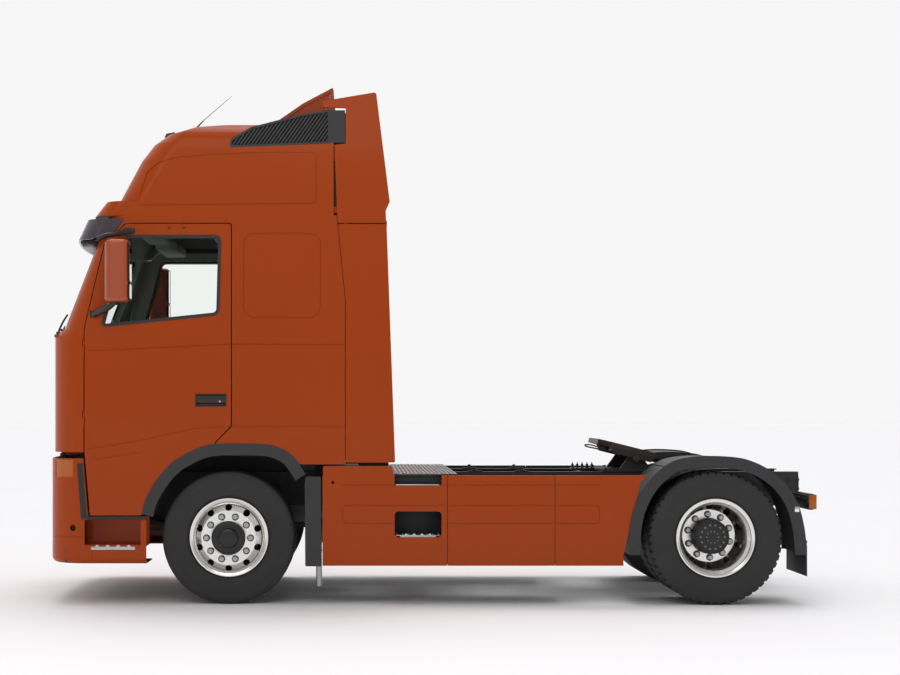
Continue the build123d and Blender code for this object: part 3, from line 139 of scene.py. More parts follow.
def boxMask(tree, place, boxes):
    # 1 inside any of the boxes, given as (low, high) corners; both sides of the truck at once
    parts = addNode(tree, "ShaderNodeSeparateXYZ", links={0: place}).outputs
    folded = addNode(tree, "ShaderNodeCombineXYZ", links={"X": parts["X"],
        "Y": calc(tree, "ABSOLUTE", parts["Y"]), "Z": parts["Z"]}).outputs[0]
    total = None
    for low, high in boxes:
        centre = tuple((a + b) / 2 for a, b in zip(low, high))
        half = tuple((b - a) / 2 for a, b in zip(low, high))
        offset = calc(tree, "ABSOLUTE", calc(tree, "SUBTRACT", folded, centre, vector=True), vector=True)
        outside = calc(tree, "SUBTRACT", offset, half, vector=True)
        axes = addNode(tree, "ShaderNodeSeparateXYZ", links={0: outside}).outputs
        far = calc(tree, "MAXIMUM", calc(tree, "MAXIMUM", axes["X"], axes["Y"]), axes["Z"])
        inside = calc(tree, "LESS_THAN", far, 0.0)
        total = inside if total is None else calc(tree, "MAXIMUM", total, inside)
    return total


def facesInwards(tree, place, centre):
    # 1 where a face looks towards the centre, as a cab's inner skin does
    facing = addNode(tree, "ShaderNodeTexCoord").outputs["Normal"]
    reach = calc(tree, "SUBTRACT", place, centre, vector=True)
    return calc(tree, "LESS_THAN", calc(tree, "DOT_PRODUCT", reach, facing, vector=True), 0.0)


def linedMaterial(name, colours, settings, linings):
    # Sprayed paint, with each lining's colour where its boxes lie (the unpainted or trimmed inner faces)
    material, tree, shader, place = grainedMaterial(name, colours, (900, 9), (0.32, 0.38), (0.04, 0.0004),
        settings)
    surface = shader
    for colour, roughness, boxes, centre in linings:
        lining = addNode(tree, "ShaderNodeBsdfPrincipled", {"Base Color": hexColour(colour),
            "Roughness": roughness}, {"Normal": reliefOf(tree, noiseAt(tree, place, 3, 3.0), 0.3, 0.0005)})
        share = boxMask(tree, place, boxes)
        if centre is not None:
            share = calc(tree, "MULTIPLY", share, facesInwards(tree, place, centre))
        surface = addNode(tree, "ShaderNodeMixShader", links={0: share, 1: surface.outputs[0],
            2: lining.outputs[0]})
    output = next(n for n in tree.nodes if n.type == "OUTPUT_MATERIAL")
    tree.links.new(surface.outputs[0], output.inputs["Surface"])
    return material


cabInside = [((0.725, 0, 1.40), (2.93, 1.225, 2.96)), ((0.80, 0, 2.90), (2.60, 1.225, 3.64))]
blackInside = [((-1.64, 0, 0.30), (0.86, 1.228, 1.06)), ((2.17, 0, 0.32), (2.80, 1.20, 0.445)),
    ((0.70, 0, 0.70), (2.2, 1.18, 1.40))]
# Two-pack paint: sprayed, glossy under a clear coat, faint orange peel; trim and bare plastic inside
coachPaint = linedMaterial("coachPaintOrange", ("#A13D05", "#A84107"), {"Coat Weight": 0.18,
    "Coat Roughness": 0.07, "Specular IOR Level": 0.1}, [("#858B81", 0.85, cabInside, (1.75, 0.0, 2.25)),
    ("#1D1D1E", 0.6, blackInside, None)])
# Polypropylene, moulded and grained: matt dark grey with a fine pebble
mouldedPlastic = grainedMaterial("mouldedPolypropylene", ("#29292B", "#323234"), (350, 2.5), (0.48, 0.62),
    (0.25, 0.0004), {})[0]
# ABS, moulded smooth: near black with a soft gloss
blackAbs = grainedMaterial("blackAbs", ("#161617", "#1D1D1E"), (300, 3), (0.3, 0.4), (0.08, 0.0002), {})[0]
# Painted mirror housing, injection moulded then sprayed
mirrorPaint = linedMaterial("mirrorHousingPaint", ("#A03F14", "#A84417"),
    {"Coat Weight": 0.5, "Coat Roughness": 0.05}, [("#202022", 0.5, [((2.46, 1.0, 2.1), (2.7, 1.6, 2.9)),
    ((2.2, 1.0, 2.1), (2.7, 1.288, 2.9)), ((2.2, 1.2, 2.1), (2.285, 1.6, 2.9))], None)])
# Chassis enamel over rolled steel: semi-matt, dusty in patches
chassisEnamel = grainedMaterial("chassisEnamel", ("#1E1E1F", "#2F2D2B"), (160, 4), (0.42, 0.66),
    (0.2, 0.0004), {})[0]
# Cast iron with a thin coat: rough from the sand mould
castIron = grainedMaterial("castIronPainted", ("#232325", "#2E2C2A"), (90, 5), (0.5, 0.7), (0.45, 0.0008),
    {})[0]
# Cast aluminium: dull, pale, sand-textured
castAlloy = grainedMaterial("castAluminium", ("#77797B", "#8C8E8F"), (120, 4), (0.45, 0.6), (0.4, 0.0006),
    {"Metallic": 0.85})[0]
# Greased steel of the coupling plate: oily dark film with a rusty edge showing through
greasedSteel = grainedMaterial("greasedSteel", ("#2B2A26", "#4E4033"), (130, 7), (0.28, 0.6),
    (0.35, 0.0008), {"Metallic": 0.35})[0]
# Extruded aluminium, brushed by shoes: bright with fine scratches
treadAluminium = grainedMaterial("treadAluminium", ("#B9BBBC", "#CDCFCF"), (70, 2), (0.24, 0.42),
    (0.3, 0.0003), {"Metallic": 1.0})[0]
# Chequered sheet between its bars: darker and duller than the bars
treadGround = grainedMaterial("treadAluminiumDull", ("#4A4B49", "#5E5F5C"), (60, 3), (0.5, 0.68),
    (0.4, 0.0004), {"Metallic": 0.6})[0]
# Zinc-plated steel of nuts and clamps
zincSteel = grainedMaterial("zincSteel", ("#A7A8A9", "#B8B9B8"), (40, 3), (0.25, 0.38), (0.15, 0.0002),
    {"Metallic": 1.0})[0]
# Dashboard skin: slush-moulded, leather-grained, non-glare
dashSkin = grainedMaterial("dashboardSkin", ("#34372F", "#3F4238"), (250, 3), (0.6, 0.75), (0.35, 0.0005),
    {})[0]
# Headlining: needled felt over board
headlining = grainedMaterial("needledFelt", ("#7C8177", "#888D82"), (200, 2), (0.85, 0.95), (0.5, 0.0005),
    {})[0]
# EPDM seal: extruded, satin black
sealRubber = grainedMaterial("epdmSeal", ("#1A1A1B", "#232324"), (60, 2), (0.45, 0.58), (0.15, 0.0002),
    {})[0]
# Polycarbonate number plate blank: white, plain
plateBlank = grainedMaterial("polycarbonateBlank", ("#D8D8D2", "#DEDED9"), (120, 3), (0.3, 0.36),
    (0.02, 0.0001), {})[0]


def wovenCloth(name, colours, threadMm):
    # Plain weave: warp and weft from two crossed wave textures, drawn coarser than real so that it shows
    material, tree, shader, place = startMaterial(name, {"Roughness": 0.9, "Sheen Weight": 0.25})
    waves = [addNode(tree, "ShaderNodeTexWave", {"bands_direction": direction,
        "Scale": perMetre(threadMm) / 6.3, "Distortion": 0.6, "Detail": 1.0}, {"Vector": place})
        for direction in ("X", "Z")]
    weave = calc(tree, "MULTIPLY", waves[0].outputs["Fac"], waves[1].outputs["Fac"])
    share = calc(tree, "MULTIPLY_ADD", weave, 0.6, noiseAt(tree, place, 90, 3.0))
    feed(tree, shader, {"Base Color": blended(tree, share, *colours), "Normal": reliefOf(tree, weave, 0.5,
        0.001)})
    return material


seatCloth = wovenCloth("seatWovenCloth", ("#23272A", "#383D40"), 5)
bunkCloth = wovenCloth("bunkWovenCloth", ("#474B4A", "#5C605E"), 6)


def clearMaterial(name, colour, transmission, roughness, ior):
    # Glass or clear plastic, with faint dust that shows as a change of roughness
    material, tree, shader, place = startMaterial(name, {"Base Color": hexColour(colour), "IOR": ior,
        "Transmission Weight": transmission})
    dust = noiseAt(tree, place, 160, 5.0)
    feed(tree, shader, {"Roughness": spread(tree, dust, roughness, roughness + 0.05, 0.4, 0.8)})
    return material


tintedGlass = clearMaterial("tintedLaminatedGlass", "#FBFDFB", 1.0, 0.0,
                            1.1)  # low IOR: thin panes hardly bend light
smokedAcrylic = clearMaterial("smokedAcrylic", "#5A4D58", 0.35, 0.12, 1.49)  # smoke-tinted cast sheet
clearLens = clearMaterial("clearPolycarbonate", "#E9EEF0", 0.9, 0.02, 1.3)
amberLens = clearMaterial("amberPolycarbonate", "#C8650F", 0.25, 0.08, 1.49)
redLens = clearMaterial("redPolycarbonate", "#8E1512", 0.2, 0.08, 1.49)


def silvered(name, colour, roughness):
    # Vacuum-plated reflector or mirror: metal with hardly any texture
    material, tree, shader, place = startMaterial(name, {"Metallic": 1.0, "Base Color": hexColour(colour)})
    feed(tree, shader, {"Roughness": spread(tree, noiseAt(tree, place, 60, 2.0), roughness,
        roughness + 0.04)})
    return material


mirrorSilver = silvered("mirrorSilver", "#D5DADB", 0.02)
lampReflector = silvered("lampReflector", "#E2E3E4", 0.06)


def wheelAlloy(name, axleX, hubRadius, discY):
    # Forged aluminium, machine polished; black inside the hub's radius and behind the disc's depth
    material, tree, shader, place = startMaterial(name, {})
    centred = calc(tree, "SUBTRACT", place, (axleX, 0.0, truck["hub"]), vector=True)
    radius = calc(tree, "LENGTH", calc(tree, "MULTIPLY", centred, (1.0, 0.0, 1.0), vector=True),
        vector=True)
    depth = calc(tree, "ABSOLUTE", addNode(tree, "ShaderNodeSeparateXYZ", links={0: place}).outputs["Y"])
    isDark = calc(tree, "MAXIMUM", calc(tree, "LESS_THAN", radius, hubRadius),
        calc(tree, "LESS_THAN", depth, discY))
    tint = blended(tree, noiseAt(tree, place, 30, 5.0), "#E2E1DC", "#EFEEEA")
    feed(tree, shader, {"Base Color": blended(tree, isDark, tint, "#1B1B1C"),
        "Metallic": calc(tree, "SUBTRACT", 1.0, isDark), "Roughness": calc(tree, "MULTIPLY_ADD", isDark,
        0.3, 0.22)})
    return material


frontAlloy = wheelAlloy("polishedAlloyFront", truck["frontAxle"], 0.13, 1.05)
rearAlloy = wheelAlloy("polishedAlloyRear", truck["rearAxle"], 0.1385, 0.86)


def tyreRubber():
    # Tyre rubber: carbon-black compound, moulded; matt, browner where it rolls on the road
    material, tree, shader, place = startMaterial("tyreRubber", {})
    fine = noiseAt(tree, place, 4, 4.0)
    feed(tree, shader, {"Base Color": blended(tree, noiseAt(tree, place, 120, 4.0), "#222123", "#2E2C2B"),
        "Roughness": spread(tree, fine, 0.58, 0.75), "Normal": reliefOf(tree, fine, 0.2, 0.0005)})
    return material


rubber = tyreRubber()

nodeFinishes = {coachPaint: ("cab_shell", "front_panel", "door_left", "door_right", "high_roof",
    "air_deflectors", "bumper", "side_skirts"), mouldedPlastic: ("roof_louvres", "arch_flares",
    "front_mudguards", "rear_mudguards", "roof_fittings", "couplings"), mirrorPaint: ("mirror_left",
    "mirror_right"), tintedGlass: ("windscreen", "glass_left", "glass_right"),
    smokedAcrylic: ("sun_visor",), blackAbs: ("wipers",), dashSkin: ("dashboard",),
    chassisEnamel: ("frame", "front_axle", "suspension", "fifth_wheel_stand"),
    castIron: ("rear_axle", "knuckle_left", "knuckle_right", "engine"), castAlloy: ("gearbox", "tanks"),
    greasedSteel: ("fifth_wheel",), treadGround: ("treads",), clearLens: ("lamps",), seatCloth: ("seats",),
    bunkCloth: ("bunk",), frontAlloy: ("rim_front_left", "rim_front_right"),
    rearAlloy: ("rims_rear_left", "rims_rear_right"), rubber: ("tyre_front_left", "tyre_front_right",
    "tyres_rear_left", "tyres_rear_right"),}
for finish, names in nodeFinishes.items():
    for name in names:
        for place in nodes[name].material_slots:
            place.material = finish


# Helpers for meshes

def placed(bm, verts, turn, centre):
    if turn is not None:
        bmesh.ops.transform(bm, matrix=turn, verts=verts)
    bmesh.ops.translate(bm, vec=Vector(centre), verts=verts)


def addBlock(bm, centre, size, edge=0.0, turn=None, segments=2):
    verts = bmesh.ops.create_cube(bm, size=1.0)["verts"]
    bmesh.ops.scale(bm, vec=Vector(size), verts=verts)
    if edge:
        edges = list({e for v in verts for e in v.link_edges})
        made = bmesh.ops.bevel(bm, geom=edges, offset=edge, affect="EDGES", segments=segments, profile=0.5,
            material=-1)
        verts = list({v for f in made["faces"] for v in f.verts} | {v for v in verts if v.is_valid})
    placed(bm, verts, turn, centre)
    return verts


def addBlocks(bm, rows, side=1):
    # One block a row: centre, size, edge; on the truck's right with side -1, and once where it is centred
    for (x, y, z), size, edge in rows:
        if y or side > 0:
            addBlock(bm, (x, side * y, z), size, edge)


def addRod(bm, start, end, radius, sides=16, endRadius=None):
    start, end = Vector(start), Vector(end)
    along = end - start
    verts = bmesh.ops.create_cone(bm, cap_ends=True, segments=sides, radius1=radius,
        radius2=radius if endRadius is None else endRadius, depth=along.length)["verts"]
    placed(bm, verts, along.to_track_quat("Z", "Y").to_matrix().to_4x4(), (start + end) / 2)
    return verts


def addTurned(bm, profile, origin, axis, steps=64, closed=False):
    # profile is (radius, distance along the axis), spun a full turn about the axis
    origin, axis = Vector(origin), Vector(axis).normalized()
    across = axis.orthogonal().normalized()
    verts = [bm.verts.new(origin + across * r + axis * a) for r, a in profile]
    pairs = list(zip(verts, verts[1:])) + ([(verts[-1], verts[0])] if closed else [])
    edges = [bm.edges.new(p) for p in pairs]
    bmesh.ops.spin(bm, geom=verts + edges, cent=origin, axis=axis, angle=math.tau, steps=steps,
        use_merge=True)
    bmesh.ops.remove_doubles(bm, verts=bm.verts, dist=1e-6)


def addPlate(bm, corners, push, rounding=0.0, rim=0.0, segments=6):
    # A flat plate from its corners in order, thickened by the push; rim keeps only a border of that width
    verts = [bm.verts.new(c) for c in corners]
    face = bm.faces.new(verts)
    if rounding:
        before = set(bm.faces) - {face}
        bmesh.ops.bevel(bm, geom=verts, offset=rounding, affect="VERTICES", segments=segments, profile=0.5,
            material=-1)
        face = next(f for f in bm.faces if f not in before)
    faces = [face]
    if rim:
        faces = bmesh.ops.inset_region(bm, faces=[face], thickness=rim, use_boundary=True,
            use_even_offset=True)["faces"]
        bmesh.ops.delete(bm, geom=[face], context="FACES_ONLY")
    grown = bmesh.ops.extrude_face_region(bm, geom=faces, use_keep_orig=True)["geom"]
    moved = [g for g in grown if isinstance(g, bmesh.types.BMVert)]
    bmesh.ops.translate(bm, vec=Vector(push), verts=moved)
    return moved


def ribbonOn(bm, tree, outer, inner, direction, thickness, sink=0.002, closed=True):
    # A strip between two loops of equal length, laid on a skin seen along the direction
    direction = Vector(direction)
    rows = []
    for a, b in zip(outer, inner):
        spots = []
        for point in (a, b):
            point = Vector(point)
            hit = tree.ray_cast(point - direction * (point.dot(direction) + 6.0), direction)[0] or point
            spots.append(hit)
        rows.append([bm.verts.new(p) for p in (spots[0] + direction * sink,
            spots[0] - direction * thickness, spots[1] - direction * thickness,
            spots[1] + direction * sink)])
    for start, end in zip(rows, rows[1:] + (rows[:1] if closed else [])):
        for i in range(4):
            bm.faces.new((start[i], start[(i + 1) % 4], end[(i + 1) % 4], end[i]))
    if not closed:
        bm.faces.new(rows[0])
        bm.faces.new(rows[-1])


def tubeMesh(bm, points, radius, sides=4, order=3, cyclic=False):
    # A bent tube whose line is a smooth NURBS spline
    curve = bpy.data.curves.new("tubeLine", "CURVE")
    curve.dimensions = "3D"
    curve.bevel_depth = radius
    curve.bevel_resolution = sides
    curve.use_fill_caps = not cyclic
    spline = curve.splines.new("NURBS")
    spline.points.add(len(points) - 1)
    for point, place in zip(spline.points, points):
        point.co = (*place, 1.0)
    spline.order_u = order
    spline.use_endpoint_u = not cyclic
    spline.use_cyclic_u = cyclic
    holder = bpy.data.objects.new("tubeHolder", curve)
    bpy.context.scene.collection.objects.link(holder)
    mesh = bpy.data.meshes.new_from_object(holder.evaluated_get(bpy.context.evaluated_depsgraph_get()))
    bm.from_mesh(mesh)
    bpy.data.objects.remove(holder)
    bpy.data.curves.remove(curve)
    bpy.data.meshes.remove(mesh)


def skinTree(*names):
    # Ray target made of CAD nodes, to lay trim on bowed skins
    verts, faces = [], []
    for name in names:
        mesh = nodes[name].data
        start = len(verts)
        verts += [v.co.copy() for v in mesh.vertices]
        faces += [[start + i for i in p.vertices] for p in mesh.polygons]
    return BVHTree.FromPolygons(verts, faces)


def surfaceAt(tree, point, direction):
    # Where a line along the direction through the point first meets the skin
    point, direction = Vector(point), Vector(direction)
    return tree.ray_cast(point - direction * (point.dot(direction) + 6.0), direction)[0]


def finishPiece(name, bm, material, body, smooth=35, replaced=()):
    bmesh.ops.recalc_face_normals(bm, faces=bm.faces)
    for edge in bm.edges:
        edge.smooth = edge.calc_face_angle(math.pi) < math.radians(smooth)
    for face in bm.faces:
        face.smooth = True
    mesh = bpy.data.meshes.new(name)
    bm.to_mesh(mesh)
    bm.free()
    mesh.materials.append(material)
    piece = bpy.data.objects.new(name, mesh)
    bpy.context.scene.collection.objects.link(piece)
    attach(piece, body)
    if replaced:
        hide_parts(*replaced)
    return piece


print("stage: camera and light")

view = {"x": 0.547, "distance": 15.0, "height": 1.48, "lens": 72.6, "shiftX": 0.0989, "shiftY": 0.0806}
cameraData = bpy.data.cameras.new("studioCamera")
cameraData.lens = view["lens"]
cameraData.sensor_width = 36.0
cameraData.shift_x = view["shiftX"]
cameraData.shift_y = view["shiftY"]
cameraData.clip_end = 200.0
camera = bpy.data.objects.new("studioCamera", cameraData)
camera.location = (view["x"], view["distance"], view["height"])
camera.rotation_euler = (math.radians(90), 0.0, math.radians(180))
bpy.context.scene.collection.objects.link(camera)
bpy.context.scene.camera = camera

studio = {"floor": "#F1F0F2", "backdrop": 0.93, "front": 0.45, "keyPower": 200, "sunPower": 0.95,
    "sunSpread": 40}
bpy.context.scene.view_settings.view_transform = "Standard"
floorMaterial = grainedMaterial("studioFloorPaint", (studio["floor"], "#F4F3F5"), (2500, 12), (0.75, 0.85),
    (0.02, 0.0003), {})[0]
bm = bmesh.new()
bmesh.ops.create_grid(bm, x_segments=1, y_segments=1, size=400.0)
floorMesh = bpy.data.meshes.new("studioFloor")
bm.to_mesh(floorMesh)
bm.free()
floorMesh.materials.append(floorMaterial)
floor = bpy.data.objects.new("studioFloor", floorMesh)
bpy.context.scene.collection.objects.link(floor)

# Bright backdrop behind the truck, dimmer studio on the camera's side
world = bpy.data.worlds.new("studioWorld")
bpy.context.scene.world = world
world.use_nodes = True
worldTree = world.node_tree
sky = addNode(worldTree, "ShaderNodeTexCoord").outputs["Generated"]
bearing = addNode(worldTree, "ShaderNodeSeparateXYZ", links={0: sky})
shade = addNode(worldTree, "ShaderNodeMapRange", {"From Min": -0.25, "From Max": 0.6,
    "To Min": studio["backdrop"], "To Max": studio["front"]}, {"Value": bearing.outputs["Y"]})
worldTree.links.new(shade.outputs["Result"], worldTree.nodes["Background"].inputs["Color"])
worldTree.nodes["Background"].inputs["Strength"].default_value = 1.0


def addLight(name, kind, place, aim, power, settings):
    lamp = bpy.data.lights.new(name, kind)
    lamp.energy = power
    for key, value in settings.items():
        setattr(lamp, key, value)
    holder = bpy.data.objects.new(name, lamp)
    holder.location = place
    holder.rotation_euler = (Vector(aim) - Vector(place)).to_track_quat("-Z", "Y").to_euler()
    bpy.context.scene.collection.objects.link(holder)


addLight("overheadBank", "SUN", (0, -2.4, 10), (0, 0, 0), studio["sunPower"],
    {"angle": math.radians(studio["sunSpread"])})
addLight("keySoftbox", "AREA", (2.5, 10.0, 8.0), (0, 0, 1.8), studio["keyPower"],
    {"shape": "SQUARE", "size": 7.0})


print("stage: wheels")

tyre = {"radius": 0.507, "halfWidth": 0.156, "flange": 0.300, "grooveDepth": 0.014,
    "grooves": (-0.078, -0.027, 0.027, 0.078), "grooveHalf": 0.005, "steps": 156, "sipeEvery": 3,
    "sipeDepth": 0.011}


def tyreProfile():
    # (radius, offset across) from one bead over the tread to the other
    r, w = tyre["radius"], tyre["halfWidth"]
    half = [(tyre["flange"] - 0.012, -0.117), (tyre["flange"] + 0.001, -0.119),
        (tyre["flange"] + 0.012, -w + 0.024), (0.318, -w + 0.016), (0.322, -w + 0.013),
        (0.330, -w + 0.0105), (0.333, -w + 0.0115), (0.362, -w + 0.003), (0.395, -w), (0.428, -w + 0.002),
        (0.441, -w + 0.0045), (0.444, -w + 0.0035), (0.470, -w + 0.0085), (0.484, -w + 0.011),
        (0.496, -w + 0.016), (0.5035, -w + 0.024), (r, -w + 0.036)]
    tread = []
    for middle in tyre["grooves"]:
        g = tyre["grooveHalf"]
        tread += [(r, middle - g), (r - tyre["grooveDepth"], middle - g + 0.002),
            (r - tyre["grooveDepth"], middle + g - 0.002), (r, middle + g)]
    return half + tread + [(a, -b) for a, b in reversed(half)]


def makeTyres(name, axleX, centres, body, replaced, lugs):
    bm = bmesh.new()
    for centre in centres:
        before = set(bm.faces)
        addTurned(bm, tyreProfile(), (axleX, centre, truck["hub"]), (0, 1, 0), tyre["steps"])
        new = [f for f in bm.faces if f not in before]
        # Lateral slots in both shoulders, every few steps of the spin
        slots = []
        for face in new:
            mid = face.calc_center_median()
            out = math.hypot(mid.x - axleX, mid.z - truck["hub"])
            across = abs(mid.y - centre)
            turn = math.atan2(mid.z - truck["hub"], mid.x - axleX) % math.tau
            step = int(turn / math.tau * tyre["steps"])
            if lugs and step % tyre["sipeEvery"] == 0 and out > 0.489 and 0.085 < across:
                slots.append(face)
        if slots:
            bmesh.ops.inset_region(bm, faces=slots, thickness=0.002, use_even_offset=True)
        for v in {v for f in slots for v in f.verts}:
            radial = Vector((v.co.x - axleX, 0, v.co.z - truck["hub"]))
            v.co -= radial.normalized() * tyre["sipeDepth"]
    return finishPiece(name, bm, rubber, body, 40, replaced)


nutRing = {"count": 10, "radius": 0.1675, "cap": 0.021, "height": 0.034, "washer": 0.027}


def addNut(bm, place, side):
    addTurned(bm, [(0.0, nutRing["height"]), (nutRing["cap"] - 0.006, nutRing["height"]),
        (nutRing["cap"] - 0.001, nutRing["height"] - 0.004), (nutRing["cap"], 0.006),
        (nutRing["cap"], 0.0)], place, (0, side, 0), 16)


def dressWheel(tag, axleX, face, side, body, rear):
    # face is the disc's outer surface; nuts in a ring and the hub's cover with circles of screws
    # (circle radius, count, screw radius, height)
    nuts, rings = bmesh.new(), bmesh.new()
    for i in range(nutRing["count"]):
        angle = math.tau * (i + (0.42 if rear else 0.0)) / nutRing["count"]
        seat = Vector((axleX + nutRing["radius"] * math.cos(angle), side * face,
            truck["hub"] + nutRing["radius"] * math.sin(angle)))
        addRod(rings, seat, seat + Vector((0, side * 0.0035, 0)), nutRing["washer"], 24)
        addNut(nuts, seat, side)
    finishPiece("wheelNuts_" + tag, nuts, zincSteel, body, 30)
    finishPiece("nutRings_" + tag, rings, blackAbs, body, 30)
    hub = bmesh.new()
    if rear:
        cover = [(0.0, 0.168), (0.104, 0.168), (0.113, 0.165), (0.1305, 0.1515), (0.1385, 0.030),
            (0.1385, 0.0)]
        circles = ((0.092, 14, 0.008, 0.168), (0.045, 10, 0.0055, 0.168))
    else:
        cover = [(0.0, 0.0585), (0.052, 0.0585), (0.057, 0.057), (0.0705, 0.0525), (0.0765, 0.016),
            (0.0785, 0.0145), (0.111, 0.0145), (0.126, 0.0085), (0.131, 0.0)]
        circles = ((0.094, 6, 0.006, 0.0145), (0.040, 6, 0.004, 0.0585))
    addTurned(hub, cover, (axleX, side * face, truck["hub"]), (0, side, 0), 48)
    screws = bmesh.new()
    for ring, count, bolt, height in circles:
        for i in range(count):
            angle = math.tau * i / count
            foot = Vector((axleX + ring * math.cos(angle), side * (face + height - 0.002),
                truck["hub"] + ring * math.sin(angle)))
            addRod(screws, foot, foot + Vector((0, side * 0.009, 0)), bolt, 6)
    finishPiece("hubScrews_" + tag, screws, castAlloy if rear else castIron, body, 32)
    finishPiece("hubCover_" + tag, hub, blackAbs if not rear else castIron, body, 32)


for side, tag in ((1, "left"), (-1, "right")):
    makeTyres("tyre_front_" + tag, truck["frontAxle"], (side * truck["frontTrack"],), "wheel_front_" + tag,
        ("tyre_front_" + tag,), False)
    makeTyres("tyres_rear_" + tag, truck["rearAxle"], (side * truck["rearOuter"],
        side * truck["rearInner"]), "wheels_rear_" + tag, ("tyres_rear_" + tag,), True)
    dressWheel("front_" + tag, truck["frontAxle"], truck["frontTrack"] + 0.175, side, "wheel_front_" + tag,
        False)
    dressWheel("rear_" + tag, truck["rearAxle"], 0.9185 + 0.022, side, "wheels_rear_" + tag, True)


print("stage: doors, glass and mirrors")

sides = ((1, "left", "door_left_body"), (-1, "right", "door_right_body"))
doorTrim = {"window": ((0.962, 2.110), (0.775, 2.802), (0.054, 2.802), (0.070, 2.203)), "sealLap": 0.006,
    "sealWidth": 0.024, "handle": (0.130, 1.555), "recess": (0.235, 0.097), "lock": (0.062, 1.545),
    "plugs": ((0.447, 2.862), (0.333, 2.862))}


# Mirror: panes by height, arms as radius and line, feet as centre, size and edge
mirror = {"faceX": 2.2775, "glassY": (1.312, 1.458), "lipY": (1.304, 1.466),
    "panes": ((2.44, 2.735), (2.312, 2.425)), "swivel": ((0.0, 0.03), (0.020, 0.03), (0.026, 0.024),
    (0.026, -0.024), (0.020, -0.03), (0.0, -0.03)), "swivelX": 2.385, "swivelY": 1.345,
    "swivelZ": (2.70, 2.30), "arms": ((0.020, ((2.520, 1.430, 2.757), (2.470, 1.425, 2.785),
    (2.400, 1.360, 2.800), (2.330, 1.270, 2.825), (2.290, 1.247, 2.838))),
    (0.024, ((2.392, 1.385, 2.300), (2.430, 1.375, 2.255), (2.510, 1.310, 2.225), (2.570, 1.245, 2.205)))),
    "feet": (((2.565, 1.236, 2.205), (0.085, 0.018, 0.075), 0.008), ((2.300, 1.248, 2.838),
    (0.080, 0.012, 0.045), 0.005)),}


def sidePoint(distance, z, side, y=None):
    return Vector((ahead(distance), side * (truck["side"] if y is None else y), z))


def grownLoop(points, amount):
    # The closed loop (x, z pairs) moved outwards by the amount, corner by corner
    middle = Vector((sum(p[0] for p in points) / len(points), sum(p[1] for p in points) / len(points)))
    made = []
    for before, here, after in zip(points[-1:] + points[:-1], points, points[1:] + points[:1]):
        a, b = (Vector(here) - Vector(before)).normalized(), (Vector(after) - Vector(here)).normalized()
        bisector = (Vector((a.y, -a.x)) + Vector((b.y, -b.x))).normalized()
        if bisector.dot(Vector(here) - middle) < 0:
            bisector = -bisector
        made.append(tuple(Vector(here) + bisector * amount))
    return made


